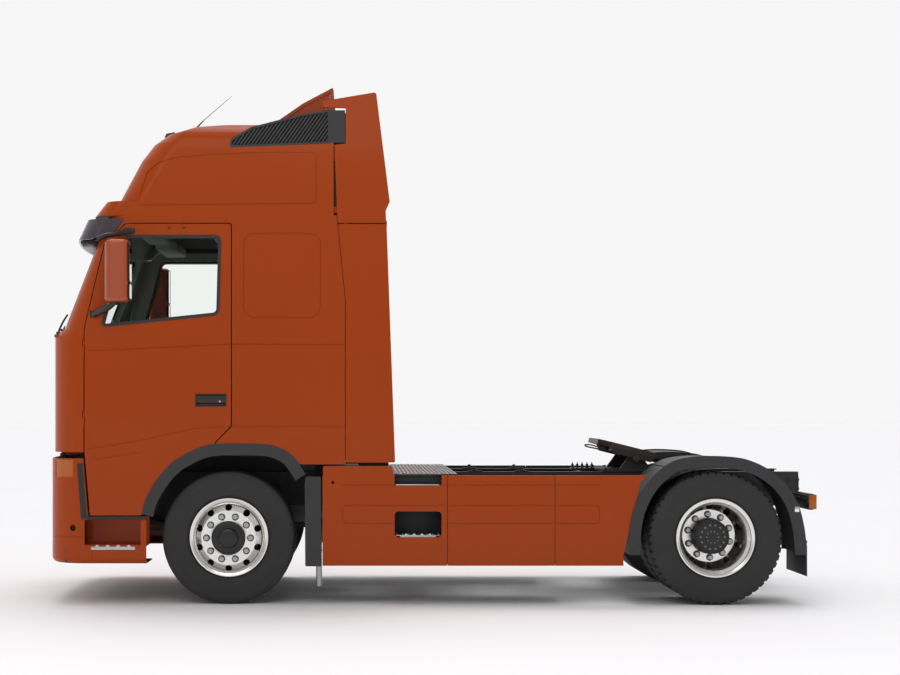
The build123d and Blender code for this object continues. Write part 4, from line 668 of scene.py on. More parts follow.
for side, tag, body in sides:
    out = Vector((0, side, 0))
    seal = bmesh.new()
    loop = grownLoop(list(doorTrim["window"]), doorTrim["sealLap"])
    addPlate(seal, [sidePoint(x, z, side, 1.2445) for x, z in loop], out * 0.0045, 0.048,
        doorTrim["sealWidth"])
    inner = grownLoop(list(doorTrim["window"]), -0.001)
    addPlate(seal, [sidePoint(x, z, side, 1.192) for x, z in inner], out * 0.040, 0.045, 0.016)
    finishPiece("windowSeal_" + tag, seal, sealRubber, body)

    grip = bmesh.new()
    x, z = doorTrim["handle"]
    wide, high = doorTrim["recess"]
    addBlock(grip, sidePoint(x, z, side, 1.2055), (wide - 0.004, 0.004, high - 0.004), 0.001)
    frameCorners = [sidePoint(x + a * wide / 2, z + b * high / 2, side, 1.2435)
        for a, b in ((1, 1), (-1, 1), (-1, -1), (1, -1))]
    addPlate(grip, frameCorners, out * 0.004, 0.016, 0.009)
    addBlock(grip, sidePoint(x, z + 0.0115, side, 1.2405), (wide - 0.012, 0.013, 0.047), 0.005, segments=3)
    addBlock(grip, sidePoint(x, z - 0.0335, side, 1.222), (wide - 0.03, 0.03, 0.012), 0.003)
    for px, pz in doorTrim["plugs"]:
        addTurned(grip, [(0.0, 0.0035), (0.007, 0.0035), (0.0095, 0.002), (0.0105, -0.001), (0.0, -0.001)],
            sidePoint(px, pz, side), out, 20)
    finishPiece("doorHandle_" + tag, grip, blackAbs, body)
    lock = bmesh.new()
    x, z = doorTrim["lock"]
    addTurned(lock, [(0.0, 0.0), (0.006, 0.0), (0.0075, -0.0008), (0.0085, -0.003), (0.0085, -0.01),
        (0.0, -0.01)], sidePoint(x, z, side, 1.2505), out, 20)
    addBlock(lock, sidePoint(x, z, side, 1.2506), (0.0014, 0.0012, 0.007))
    finishPiece("doorLock_" + tag, lock, zincSteel, body)

    lining = bmesh.new()
    addBlock(lining, sidePoint(0.50, 1.83, side, 1.172), (0.80, 0.024, 0.44), 0.010)
    addBlock(lining, sidePoint(0.45, 1.97, side, 1.150), (0.56, 0.050, 0.050), 0.016, segments=3)
    addBlock(lining, sidePoint(0.50, 1.56, side, 1.150), (0.62, 0.060, 0.17), 0.014)
    addRod(lining, sidePoint(0.80, 2.04, side, 1.150), sidePoint(0.80, 1.90, side, 1.120), 0.012)
    finishPiece("doorLining_" + tag, lining, dashSkin, body)

    panes, bezel = bmesh.new(), bmesh.new()
    for low, high in mirror["panes"]:
        for bm, x, (y0, y1), grow, depth, corner, rim in ((panes, mirror["faceX"], mirror["glassY"], 0.0,
                -0.003, 0.022, 0.0), (bezel, mirror["faceX"] + 0.0015, mirror["lipY"], 0.006, -0.006, 0.026,
                0.010)):
            corners = ((y0, low - grow), (y1, low - grow), (y1, high + grow), (y0, high + grow))
            addPlate(bm, [(x, side * y, z) for y, z in corners], (depth, 0, 0), corner, rim)
    finishPiece("mirrorGlass_" + tag, panes, mirrorSilver, body)
    for z in mirror["swivelZ"]:
        addTurned(bezel, mirror["swivel"], (mirror["swivelX"], side * mirror["swivelY"], z), (0, 0, 1), 24)
    for radius, line in mirror["arms"]:
        tubeMesh(bezel, [(x, side * y, z) for x, y, z in line], radius, 4)
    addBlocks(bezel, mirror["feet"], side)
    finishPiece("mirrorBezel_" + tag, bezel, blackAbs, body)

print("stage: cab front")

cabTree = skinTree("cab_shell", "front_panel", "windscreen", "door_left", "door_right")
bumperTree = skinTree("bumper")
back = Vector((-1, 0, 0))
screen = {"halfWidth": 1.070, "low": 2.128, "high": 2.788, "corner": 0.075, "lap": 0.012, "band": 0.030,
    "step": 0.06}
seal = bmesh.new()
loops = []
for grow in (screen["lap"], -screen["band"]):
    w, c = screen["halfWidth"] + grow, screen["corner"] + grow
    a, b = screen["low"] - grow, screen["high"] + grow
    corners = []
    for cy, cz, start in ((w - c, b - c, 0), (-w + c, b - c, 90), (-w + c, a + c, 180),
            (w - c, a + c, 270)):
        corners += [(0.0, cy + c * math.cos(math.radians(start + t)),
            cz + c * math.sin(math.radians(start + t))) for t in (0, 22.5, 45, 67.5, 90)]
    loops.append(corners)
outerLoop, innerLoop = [], []
for i in range(len(loops[0])):
    j = (i + 1) % len(loops[0])
    count = max(1, int((Vector(loops[0][j]) - Vector(loops[0][i])).length / screen["step"]))
    for k in range(count):
        outerLoop.append(Vector(loops[0][i]).lerp(Vector(loops[0][j]), k / count))
        innerLoop.append(Vector(loops[1][i]).lerp(Vector(loops[1][j]), k / count))
ribbonOn(seal, cabTree, outerLoop, innerLoop, back, 0.004)
finishPiece("windscreenSeal", seal, sealRubber, "cab")

wipe = {
    "spindles": (0.58, -0.12, -0.82), "centres": (0.78, 0.08, -0.62), "low": 2.06, "bladeZ": 2.105,
    "bladeHalf": 0.28, "reach": 0.08, "armRadius": 0.0055, "bladeRadius": 0.0045,
    # the arm's course: share of its length, distance off the glass, rise
    "course": ((0.0, 0.016, 0.0), (0.25, 0.030, 0.035), (0.6, 0.034, 0.060), (0.9, 0.026, 0.050),
        (1.0, 0.020, 0.045)),
}
arms = bmesh.new()
for spindleY, centreY in zip(wipe["spindles"], wipe["centres"]):
    foot = surfaceAt(cabTree, (0, spindleY, wipe["low"] + 0.02), back)
    addTurned(arms, [(0.0, 0.022), (0.014, 0.022), (0.018, 0.016), (0.019, -0.004), (0.0, -0.004)], foot,
        (1, 0, 0), 20)
    line = []
    for t, lift, rise in wipe["course"]:
        y = spindleY + (centreY + wipe["reach"] - spindleY) * t
        spot = surfaceAt(cabTree, (0, y, wipe["low"] + 0.02 + rise), back)
        line.append(spot - back * lift)
    tubeMesh(arms, line, wipe["armRadius"], 3)
    blade = []
    for i in range(15):
        y = centreY - wipe["bladeHalf"] + 2 * wipe["bladeHalf"] * i / 14
        spot = surfaceAt(cabTree, (0, y, wipe["bladeZ"]), back)
        blade.append(tuple(spot - back * (0.013 + 0.004 * math.cos(math.pi * (i - 7) / 14))))
    tubeMesh(arms, blade, wipe["bladeRadius"], 2)
    for i in range(1, 14, 3):
        spot = Vector(blade[i])
        addBlock(arms, spot + Vector((-0.004, 0, 0.001)), (0.012, 0.03, 0.011), 0.003)
for side in (1, -1):
    low = surfaceAt(cabTree, (0, side * 0.93, 2.075), back)
    high = surfaceAt(cabTree, (0, side * 0.99, 2.215), back)
    tubeMesh(arms, [low - back * 0.022, low.lerp(high, 0.5) - back * 0.040, high - back * 0.030], 0.0075, 3)
    addBlock(arms, low - back * 0.018, (0.036, 0.030, 0.026), 0.007)
finishPiece("wiperArms", arms, blackAbs, "cab")

lidSlots = {"bottom": 1.230, "pitch": 0.075, "count": 5, "halfWidth": 0.70, "behind": 0.030}
grid = bmesh.new()
for row in range(lidSlots["count"]):
    z = lidSlots["bottom"] + row * lidSlots["pitch"]
    strip = []
    for i in range(29):
        y = -lidSlots["halfWidth"] + 0.02 + (2 * lidSlots["halfWidth"] - 0.04) * i / 28
        spot = surfaceAt(cabTree, (0, y, z + lidSlots["pitch"] / 2), back)
        strip.append(spot + back * lidSlots["behind"])
    for a, b in zip(strip, strip[1:]):
        for t in (0.0, 0.33, 0.66):
            spot = a.lerp(b, t)
            for lean in (-1, 1):
                addRod(grid, (spot.x, spot.y - lean * 0.012, z - 0.024),
                    (spot.x, spot.y + lean * 0.012, z + 0.024), 0.0016, 4)
finishPiece("lidMesh", grid, blackAbs, "lid")

grille = {"rows": ((0.655, 0.054), (0.565, 0.054), (0.440, 0.060)), "halfWidth": 0.62, "behind": 0.018}
grid = bmesh.new()
for z, height in grille["rows"]:
    for i in range(63):
        y = -grille["halfWidth"] + 0.012 + (2 * grille["halfWidth"] - 0.024) * i / 62
        spot = surfaceAt(bumperTree, (0, y, z + height * 0.75), back)
        if spot is None or spot.x < 2.7:
            continue
        for lean in (-1, 1):
            addRod(grid, (spot.x - grille["behind"], spot.y - lean * 0.011, z - height / 2 - 0.004),
                (spot.x - grille["behind"], spot.y + lean * 0.011, z + height / 2 + 0.004), 0.0018, 4)
finishPiece("bumperMesh", grid, blackAbs, "chassis")

numberPlate = {"size": (0.003, 0.520, 0.110), "edge": 0.0012, "Front": (2.9785, 0, 0.505),
    "Rear": (-2.9715, 0, 0.80)}


def makePlateBlank(end):
    plate = bmesh.new()
    addBlock(plate, numberPlate[end], numberPlate["size"], numberPlate["edge"])
    finishPiece("plateBlank" + end, plate, plateBlank, "chassis")


makePlateBlank("Front")
holder = bmesh.new()
addPlate(holder, [(2.9755, a * 0.266, 0.505 + b * 0.061) for a, b in ((1, 1), (-1, 1), (-1, -1), (1, -1))],
    Vector((0.0065, 0, 0)), 0.006, 0.009)
finishPiece("plateHolderFront", holder, blackAbs, "chassis")

gap = {"outer": ((1.152, 1.160), (1.112, 0.650)), "inner": ((1.112, 1.160), (1.069, 0.6595)), "parts": 12}
for side, tag, body in sides:
    strip = bmesh.new()
    loops = []
    for edge in ("outer", "inner"):
        top, foot = [Vector((ahead(x), 0.0, z)) for x, z in gap[edge]]
        loops.append([top.lerp(foot, i / gap["parts"]) for i in range(gap["parts"] + 1)])
    ribbonOn(strip, bumperTree, *loops, Vector((0, -side, 0)), 0.007, 0.003, False)
    addBlock(strip, (ahead(0.8425), side * 1.2425, 0.6600), (0.455, 0.008, 0.024), 0.002)
    finishPiece("bumperGapRubber_" + tag, strip, sealRubber, "chassis")
    visorArm = bmesh.new()
    for y in (0.35, 0.95):
        low = surfaceAt(cabTree, (0, side * y, 2.86), back)
        addBlock(visorArm, low + Vector((0.045, 0, 0.0)), (0.11, 0.020, 0.030), 0.005)
        addTurned(visorArm, [(0.0, 0.009), (0.010, 0.009), (0.012, 0.006), (0.012, -0.009), (0.0, -0.009)],
            low + Vector((0.10, 0, 0.0)), (0, side, 0), 16)
    finishPiece("visorBrackets_" + tag, visorArm, blackAbs, "cab")

print("stage: lamps")

head = {"centre": (0.860, 0.900), "half": (0.163, 0.0725), "bowls": (0.785, 0.937), "bowlZ": 0.900,
    "bowl": 0.064}
lampTree = skinTree("lamps")
housing, lens, bowls, bulbs = bmesh.new(), bmesh.new(), bmesh.new(), bmesh.new()
for side in (1, -1):
    cy, cz = head["centre"]
    rows = []
    for i in range(15):
        y = side * (cy - head["half"][0] + 2 * head["half"][0] * i / 14)
        spots = []
        for k in range(7):
            z = cz - head["half"][1] + 2 * head["half"][1] * k / 6
            spot = surfaceAt(lampTree, (0, y, z), back)
            spots.append(spot if spot is not None and spot.x > 2.7 else Vector((2.9, y, z)))
        rows.append(spots)
    layers = []
    for depth in (0.0, 0.0035):
        layers.append([[lens.verts.new(spot + back * (depth + 0.0005)) for spot in spots]
            for spots in rows])
    for a, b in zip(range(14), range(1, 15)):
        for k in range(6):
            for grid in layers:
                lens.faces.new((grid[a][k], grid[b][k], grid[b][k + 1], grid[a][k + 1]))
    top, under = layers
    lowerEdge, upperEdge = [(i, 0) for i in range(15)], [(i, 6) for i in range(13, -1, -1)]
    rim = lowerEdge + [(14, k) for k in range(1, 7)] + upperEdge + [(0, k) for k in range(5, 0, -1)]
    for (i, k), (m, n) in zip(rim, rim[1:] + rim[:1]):
        lens.faces.new((top[i][k], top[m][n], under[m][n], under[i][k]))
    addBlock(housing, (2.795, side * cy, cz), (0.012, 2 * head["half"][0], 2 * head["half"][1]), 0.003)
    for edge in (-1, 1):
        addBlock(housing, (2.835, side * cy, cz + edge * (head["half"][1] - 0.004)),
            (0.08, 2 * head["half"][0] - 0.004, 0.006), 0.001)
    for y in head["bowls"]:
        front = surfaceAt(lampTree, (0, side * (y + 0.055), cz), back).x - 0.012
        r = head["bowl"]
        shell = [(r * t, -0.062 + 0.050 * t * t) for t in (0.18, 0.3, 0.42, 0.54, 0.66, 0.78, 0.9, 1.0)]
        shell += [(r + 0.004, -0.012), (r + 0.004, -0.030), (r * 0.5, -0.066), (r * 0.18, -0.066)]
        addTurned(bowls, shell, (front, side * y, head["bowlZ"]), (1, 0, 0), 40, True)
        addTurned(bulbs, [(0.0, -0.016), (0.006, -0.018), (0.0095, -0.026), (0.0095, -0.050),
            (0.0, -0.062)], (front, side * y, head["bowlZ"]), (1, 0, 0), 16)
finishPiece("headlampHousings", housing, blackAbs, "chassis")
finishPiece("headlampBowls", bowls, lampReflector, "chassis")
finishPiece("headlampBulbs", bulbs, clearLens, "chassis")
finishPiece("headlampLenses", lens, clearLens, "chassis", 60)

indicators = bmesh.new()
indicators.from_mesh(nodes["lamps"].data)
bmesh.ops.remove_doubles(indicators, verts=indicators.verts, dist=1e-6)
others = [v for v in indicators.verts if v.co.x <= 2.70 or abs(v.co.y) <= 1.0465 or v.co.z <= 0.96]
bmesh.ops.delete(indicators, geom=others, context="VERTS")
finishPiece("indicatorLenses", indicators, amberLens, "chassis", 30, ("lamps",))

# Rear lamps, each lens as centre y, width and colour
tail = {
    "x": -2.8975, "z": 0.780, "bracketZ": 0.800, "screws": (0.50, 0.80, 0.90, 1.02, 1.12),
    "parts": ((0.835, 0.150, redLens), (0.960, 0.090, clearLens), (1.055, 0.090, redLens),
        (1.1375, 0.065, amberLens)),
}
case = bmesh.new()
for side in (1, -1):
    addBlock(case, (tail["x"] + 0.012, side * 0.960, tail["z"]), (0.034, 0.418, 0.123), 0.006)
    addBlock(case, (-2.8625, side * 0.7975, tail["bracketZ"]), (0.010, 0.745, 0.060), 0.002)
    for y in tail["screws"]:
        addRod(case, (-2.857, side * y, tail["bracketZ"]), (-2.850, side * y, tail["bracketZ"]), 0.008, 6)
finishPiece("rearLampCases", case, blackAbs, "chassis")
for finish, label in ((redLens, "red"), (clearLens, "clear"), (amberLens, "amber")):
    glassy = bmesh.new()
    for side in (1, -1):
        for y, width, kind in tail["parts"]:
            if kind is finish:
                addBlock(glassy, (tail["x"] - 0.016, side * y, tail["z"]), (0.026, width - 0.004, 0.112),
                    0.005, segments=3)
                for k in range(5):
                    addBlock(glassy, (tail["x"] - 0.0295, side * y, tail["z"] - 0.04 + 0.02 * k),
                        (0.002, width - 0.016, 0.007), 0.0008)
        if finish is amberLens:
            addBlock(glassy, (tail["x"] + 0.012, side * 1.1665, tail["z"]), (0.034, 0.010, 0.104), 0.003)
    finishPiece("rearLenses_" + label, glassy, finish, "chassis")

# Marker lamps, aerial and horns stand on the roof's skin; the aerial's points are (x, z)
roofKit = {
    "markerY": (-0.8, 0.0, 0.8), "markerX": (1.990, 2.078), "markerHalf": 0.052,
    "aerialY": 0.85, "aerialX": 1.848, "aerialBend": (1.776, 3.735), "aerialTip": (1.556, 3.925),
    "hornY": (-0.30, 0.30), "hornX": 1.70, "hornHeight": 0.058,
    # outlines as (radius, distance along the axis)
    "aerialFoot": ((0.0, 0.030), (0.012, 0.028), (0.022, 0.016), (0.026, 0.0), (0.026, -0.006),
        (0.0, -0.006)),
    "horn": ((0.018, -0.16), (0.022, -0.05), (0.026, 0.04), (0.034, 0.10), (0.056, 0.16), (0.060, 0.166),
        (0.052, 0.160), (0.028, 0.095), (0.016, 0.0), (0.0, -0.10), (0.0, -0.165)),
}
roofTree = skinTree("high_roof")
down = Vector((0, 0, -1))
marker, fittings = bmesh.new(), bmesh.new()
for y in roofKit["markerY"]:
    rear, front = (surfaceAt(roofTree, (x, y, 0), down) for x in roofKit["markerX"])
    outline = ((rear.x, rear.z - 0.004), (front.x, front.z - 0.004), (front.x - 0.012, front.z + 0.056),
        (rear.x + 0.010, rear.z + 0.036))
    addPlate(fittings, [(x, y - roofKit["markerHalf"], z) for x, z in outline],
        (0, 2 * roofKit["markerHalf"], 0))
    addBlock(marker, (front.x - 0.006, y, front.z + 0.028), (0.012, 0.088, 0.030), 0.004, segments=3)
finishPiece("markerLenses", marker, clearLens, "cab")
foot = surfaceAt(roofTree, (roofKit["aerialX"], roofKit["aerialY"], 0), down)
bend, tip = (Vector((x, roofKit["aerialY"], z)) for x, z in (roofKit["aerialBend"], roofKit["aerialTip"]))
addTurned(fittings, roofKit["aerialFoot"], foot, (0, 0, 1), 24)
addRod(fittings, foot + Vector((-0.004, 0, 0.020)), bend, 0.0075, 14, 0.0045)
addRod(fittings, bend, tip, 0.0028, 8, 0.0016)
for y in roofKit["hornY"]:
    spot = surfaceAt(roofTree, (roofKit["hornX"], y, 0), down)
    addBlock(fittings, spot + Vector((-0.02, 0, 0.012)), (0.10, 0.030, 0.030), 0.008)
    addTurned(fittings, roofKit["horn"], spot + Vector((0, 0, roofKit["hornHeight"])), (1, 0, 0), 32)
finishPiece("roofLampsAerialHorns", fittings, blackAbs, "cab", 35, ("roof_fittings",))

print("stage: chassis")

# Gaskets close the joints between panels, so that no light comes through: centre, size and edge of each
gaskets = {
    "skirtGaskets": ("chassis", [
        ((ahead(-1.664), 1.222, 0.640), (0.050, 0.004, 0.66), 0.001),
        ((ahead(-2.479), 1.222, 0.640), (0.050, 0.004, 0.66), 0.001),
        ((ahead(1.100), 1.120, 0.900), (0.13, 0.006, 0.44), 0.001),
    ]),
    "deflectorGaskets": ("cab", [
        ((0.685, 1.200, 1.985), (0.13, 0.006, 1.77), 0.001),
        ((0.750, 1.200, 3.185), (0.11, 0.006, 0.63), 0.001),
        ((0.50, 1.190, 2.894), (0.30, 0.006, 0.05), 0.001),
        ((0.700, 1.200, 3.610), (0.16, 0.030, 0.25), 0.004),
        ((ahead(-0.030), 1.170, 2.130), (0.060, 0.006, 1.50), 0.001),
        ((ahead(0.345), 1.170, 2.896), (0.75, 0.006, 0.044), 0.001),
        ((0.785, 0, 2.957), (0.050, 2.30, 0.050), 0.001),
    ]),
}
for name, (body, strips) in gaskets.items():
    joints = bmesh.new()
    for side in (1, -1):
        addBlocks(joints, strips, side)
    finishPiece(name, joints, sealRubber, body)

step = {"x": (-0.066, 0.300), "low": 0.4945, "high": 0.735, "backY": 0.976, "frontY": 1.226, "wall": 0.004}
liner = bmesh.new()
for side in (1, -1):
    x0, x1 = step["x"]
    z0, z1 = step["low"], step["high"]
    midX, midZ, midY = (x0 + x1) / 2, (z0 + z1) / 2, (step["backY"] + step["frontY"]) / 2
    addBlock(liner, (midX, side * step["backY"], midZ), (x1 - x0, step["wall"], z1 - z0), 0.001)
    addBlock(liner, (midX, side * midY, z1), (x1 - x0, step["frontY"] - step["backY"], step["wall"]), 0.001)
    for x in step["x"]:
        addBlock(liner, (x, side * midY, midZ), (step["wall"], step["frontY"] - step["backY"], z1 - z0),
            0.001)
    addBlock(liner, (0.119, side * 1.150, 0.946), (0.40, 0.004, 0.074), 0.001)
finishPiece("stepLiners", liner, mouldedPlastic, "chassis")

tread = {"pitch": 0.054, "length": 0.046, "width": 0.015, "rise": 0.0042, "x": (-0.170, 0.282), "y": 1.185,
    "z": 0.995}
bars = bmesh.new()
row = 0
x = tread["x"][0]
while x < tread["x"][1]:
    y = -tread["y"] + (row % 2) * tread["pitch"] / 2
    column = 0
    while y < tread["y"]:
        turn = math.radians(45 if (row + column) % 2 else -45)
        ends = Vector((math.cos(turn), math.sin(turn), 0)) * tread["length"] / 2
        wide = Vector((-math.sin(turn), math.cos(turn), 0)) * tread["width"] / 2
        centre = Vector((x, y, tread["z"]))
        low = [bars.verts.new(centre + v + Vector((0, 0, -0.0006))) for v in (ends, wide, -ends, -wide)]
        high = [bars.verts.new(centre + v * 0.62 + Vector((0, 0, tread["rise"])))
            for v in (ends, wide, -ends, -wide)]
        bars.faces.new(high)
        bars.faces.new(low[::-1])
        for i in range(4):
            bars.faces.new((low[i], low[(i + 1) % 4], high[(i + 1) % 4], high[i]))
        y += tread["pitch"]
        column += 1
    x += tread["pitch"] * 0.55
    row += 1
addBlock(bars, (0.297, 0, 0.9915), (0.004, 2.39, 0.016), 0.001)
for side in (1, -1):
    for x in (-0.14, 0.055, 0.25):
        addRod(bars, (x, side * 0.425 - side * 0.03, 0.996), (x, side * 0.425 - side * 0.03, 1.0015), 0.010,
            12)
finishPiece("chequerBars", bars, treadAluminium, "chassis", 20)

# Studded treads: x from and to, y from and to, height, studs across and along
stepTreads = ((-0.045, 0.273, 0.970, 1.200, 0.530, 4, 8), (2.272, 2.590, 1.112, 1.222, 0.447, 3, 8))
# Knobs on the treads' front edges: first x, pitch, y from and to, height, radius, sides
stepKnobs = (
    (0.024, 0.060, 1.2050, 1.2200, 0.530, 0.012, 14),
    (2.307, 0.080, 1.2330, 1.2440, 0.444, 0.014, 16),
)
stepEdges = (
    ((-0.036, 1.2175, 0.513), (0.03, 0.006, 0.030), 0.002),
    ((0.264, 1.2175, 0.513), (0.03, 0.006, 0.030), 0.002),
    ((0.114, 1.2165, 0.516), (0.334, 0.008, 0.030), 0.002),
    ((0.119, 1.2375, 0.9135), (0.330, 0.006, 0.008), 0.002),
    ((2.427, 1.2385, 0.432), (0.336, 0.012, 0.024), 0.003),
)
studs = bmesh.new()
for side in (1, -1):
    for x0, x1, y0, y1, z, across, along in stepTreads:
        for i in range(along):
            for j in range(across):
                foot = Vector((x0 + (x1 - x0) * i / (along - 1), side * (y0 + (y1 - y0) * j / (across - 1)),
                    z - 0.0005))
                addTurned(studs, [(0.0095, 0.0), (0.0075, 0.0035), (0.0050, 0.0060), (0.0042, 0.0030),
                    (0.0, 0.0030)], foot, (0, 0, 1), 12)
    addBlocks(studs, stepEdges, side)
    for x, pitch, y0, y1, z, radius, count in stepKnobs:
        for k in range(4):
            addRod(studs, (x + pitch * k, side * y0, z), (x + pitch * k, side * y1, z), radius, count)
finishPiece("stepStuds", studs, treadAluminium, "chassis", 40)

fasteners = {
    # rail bolts: distances from the front axle, half their spacing, heights, the rail's outer face
    "distances": (1.130, -0.560, -1.500, -2.550, -3.240, -4.480), "spacing": 0.035,
    "heights": (0.78, 0.85, 0.92), "face": 0.4245,
    # bolts of the fifth wheel's base, single bolts of the tank straps and clamps on the rail's top
    "base": (-1.90, -1.80, -1.52, -1.42), "baseY": 0.402, "baseZ": 1.001,
    "straps": (-0.08, 0.62, 0.05, 0.74), "strapZ": 0.80,
    "clamps": (-0.370, -0.748), "clampY": 0.385,
    # (radius, height) of washer and head
    "railWasher": (0.013, 0.003), "railHead": (0.0095, 0.013), "baseWasher": (0.015, 0.003),
    "baseHead": (0.011, 0.014),
}


def addBolt(bm, foot, out, washer, head):
    addRod(bm, foot, foot + out * washer[1], washer[0], 12)
    addRod(bm, foot + out * washer[1], foot + out * head[1], head[0], 6)


bolts = bmesh.new()
up = Vector((0, 0, 1))
for side in (1, -1):
    out = Vector((0, side, 0))
    for distance in fasteners["distances"]:
        for dx in (-fasteners["spacing"], fasteners["spacing"]):
            for z in fasteners["heights"]:
                foot = Vector((ahead(distance) + dx, side * fasteners["face"], z))
                addBolt(bolts, foot, out, fasteners["railWasher"], fasteners["railHead"])
    for x in fasteners["base"]:
        foot = Vector((x, side * fasteners["baseY"], fasteners["baseZ"]))
        addBolt(bolts, foot, up, fasteners["baseWasher"], fasteners["baseHead"])
    for x in fasteners["straps"]:
        foot = Vector((x, side * fasteners["face"], fasteners["strapZ"]))
        addRod(bolts, foot, foot + out * 0.012, 0.010, 6)
    for x in fasteners["clamps"]:
        addBlock(bolts, (x, side * fasteners["clampY"], 0.990), (0.110, 0.034, 0.010), 0.003)
        addTurned(bolts, [(0.0, 0.026), (0.010, 0.026), (0.014, 0.020), (0.014, 0.008), (0.018, 0.004),
            (0.018, -0.002), (0.0, -0.002)], (x, side * fasteners["clampY"], 0.994), up, 16)
finishPiece("frameBolts", bolts, chassisEnamel, "chassis")

# The bellow's outline as (radius, height); it sits ahead of and behind the axle
bellow = {"from": (0.320, -0.400), "y": 0.480, "z": 0.565, "outline": ((0.0995, 0.002), (0.1045, 0.006),
    (0.1060, 0.020), (0.1030, 0.030), (0.1110, 0.040), (0.1190, 0.060), (0.1210, 0.085), (0.1170, 0.110),
    (0.1080, 0.126), (0.1040, 0.133), (0.1040, 0.146), (0.0995, 0.149))}
bellows = bmesh.new()
for side in (1, -1):
    for x in bellow["from"]:
        addTurned(bellows, bellow["outline"], (truck["rearAxle"] + x, side * bellow["y"], bellow["z"]), up,
            40, True)
finishPiece("airBellows", bellows, rubber, "chassis")

# Shock absorbers: x of the lower eye, heights of both eyes, lean along x, y
dampersAt = ((-2.330, 0.560, 0.890, -0.06, 0.600), (1.330, 0.560, 0.880, -0.10, 0.480))
dampers = bmesh.new()
for side in (1, -1):
    for x, z0, z1, lean, y in dampersAt:
        low, high = Vector((x, side * y, z0)), Vector((x + lean, side * (y - 0.02), z1))
        addRod(dampers, low, low.lerp(high, 0.55), 0.034, 24)
        addRod(dampers, low.lerp(high, 0.45), high, 0.041, 24)
        for end in (low, high):
            addTurned(dampers, [(0.010, 0.028), (0.026, 0.028), (0.028, 0.020), (0.028, -0.020),
                (0.026, -0.028), (0.010, -0.028)], end, (0, 1, 0), 20, True)
finishPiece("shockAbsorbers", dampers, castIron, "chassis")

pipe = {"x": 0.868, "y": 1.100, "foot": 0.133, "radius": 0.0225, "bore": 0.0195, "length": 0.30,
    "collar": 0.40}
exhaust = bmesh.new()
r = pipe["radius"]
addTurned(exhaust, [(r, 0.0), (r, pipe["length"]), (pipe["bore"], pipe["length"]), (pipe["bore"], 0.0)],
    (pipe["x"], pipe["y"], pipe["foot"]), up, 28, True)
bend = ((pipe["y"], 0.43), (pipe["y"], 0.49), (1.05, 0.56), (0.75, 0.58), (0.45, 0.60))
tubeMesh(exhaust, [(pipe["x"], y, z) for y, z in bend], r, 5)
addTurned(exhaust, [(r, 0.0), (r + 0.003, 0.0), (r + 0.003, 0.012), (r, 0.012)],
    (pipe["x"], pipe["y"], pipe["collar"]), up, 28, True)
finishPiece("exhaustOutlet", exhaust, zincSteel, "chassis")

flap = {"inner": 0.70, "ribs": 13, "ribPitch": 0.040, "bolts": 6, "boltPitch": 0.096, "clampZ": 0.478}
flaps = bmesh.new()
for side in (1, -1):
    for k in range(flap["ribs"]):
        addBlock(flaps, (-2.8365, side * (flap["inner"] + flap["ribPitch"] * k), 0.355),
            (0.005, 0.007, 0.235), 0.001)
    addBlock(flaps, (-2.838, side * 0.94, flap["clampZ"]), (0.006, 0.56, 0.022), 0.002)
    for k in range(flap["bolts"]):
        foot = Vector((-2.841, side * (flap["inner"] + flap["boltPitch"] * k), flap["clampZ"]))
        addRod(flaps, foot, foot + Vector((-0.006, 0, 0)), 0.008, 6)
finishPiece("mudflapRibs", flaps, sealRubber, "chassis")

makePlateBlank("Rear")
rearHolder = bmesh.new()
addBlock(rearHolder, (-2.9675, 0, 0.80), (0.005, 0.535, 0.124), 0.002)
for y in (-0.18, 0.18):
    addBlock(rearHolder, (-2.945, y, 0.80), (0.045, 0.03, 0.05), 0.003)
finishPiece("plateHolderRear", rearHolder, blackAbs, "chassis")

print("stage: wheel arches")


def smoothLine(points, parts=5):
    # Catmull-Rom line through the points
    points = [Vector(p) for p in points]
    padded = [points[0] * 2 - points[1]] + points + [points[-1] * 2 - points[-2]]
    made = []
    for i in range(1, len(padded) - 2):
        a, b, c, d = padded[i - 1:i + 3]
        for k in range(parts):
            t = k / parts
            bend = (2 * a - 5 * b + 4 * c - d) * t * t + (3 * b - a - 3 * c + d) * t ** 3
            made.append(0.5 * ((2 * b) + (c - a) * t + bend))
    return made + [points[-1]]


def inwardLine(line, amount):
    # The line moved square to itself, towards the wheel
    made = []
    for i, here in enumerate(line):
        along = (line[min(i + 1, len(line) - 1)] - line[max(i - 1, 0)]).normalized()
        made.append(here + Vector((along.y, -along.x)) * amount)
    return made


def bandAcross(bm, outer, inner, y0, y1):
    # A curved band between two lines in side view, from y0 to y1
    rows = []
    for a, b in zip(outer, inner):
        rows.append([bm.verts.new(p) for p in ((a.x, y0, a.y), (a.x, y1, a.y), (b.x, y1, b.y),
            (b.x, y0, b.y))])
    for start, end in zip(rows, rows[1:]):
        for i in range(4):
            bm.faces.new((start[i], start[(i + 1) % 4], end[(i + 1) % 4], end[i]))
    bm.faces.new(rows[0])
    bm.faces.new(rows[-1])


def addBands(bm, line, bands, side):
    for outer, inner, y0, y1 in bands:
        bandAcross(bm, inwardLine(line, outer), inwardLine(line, inner), side * y0, side * y1)


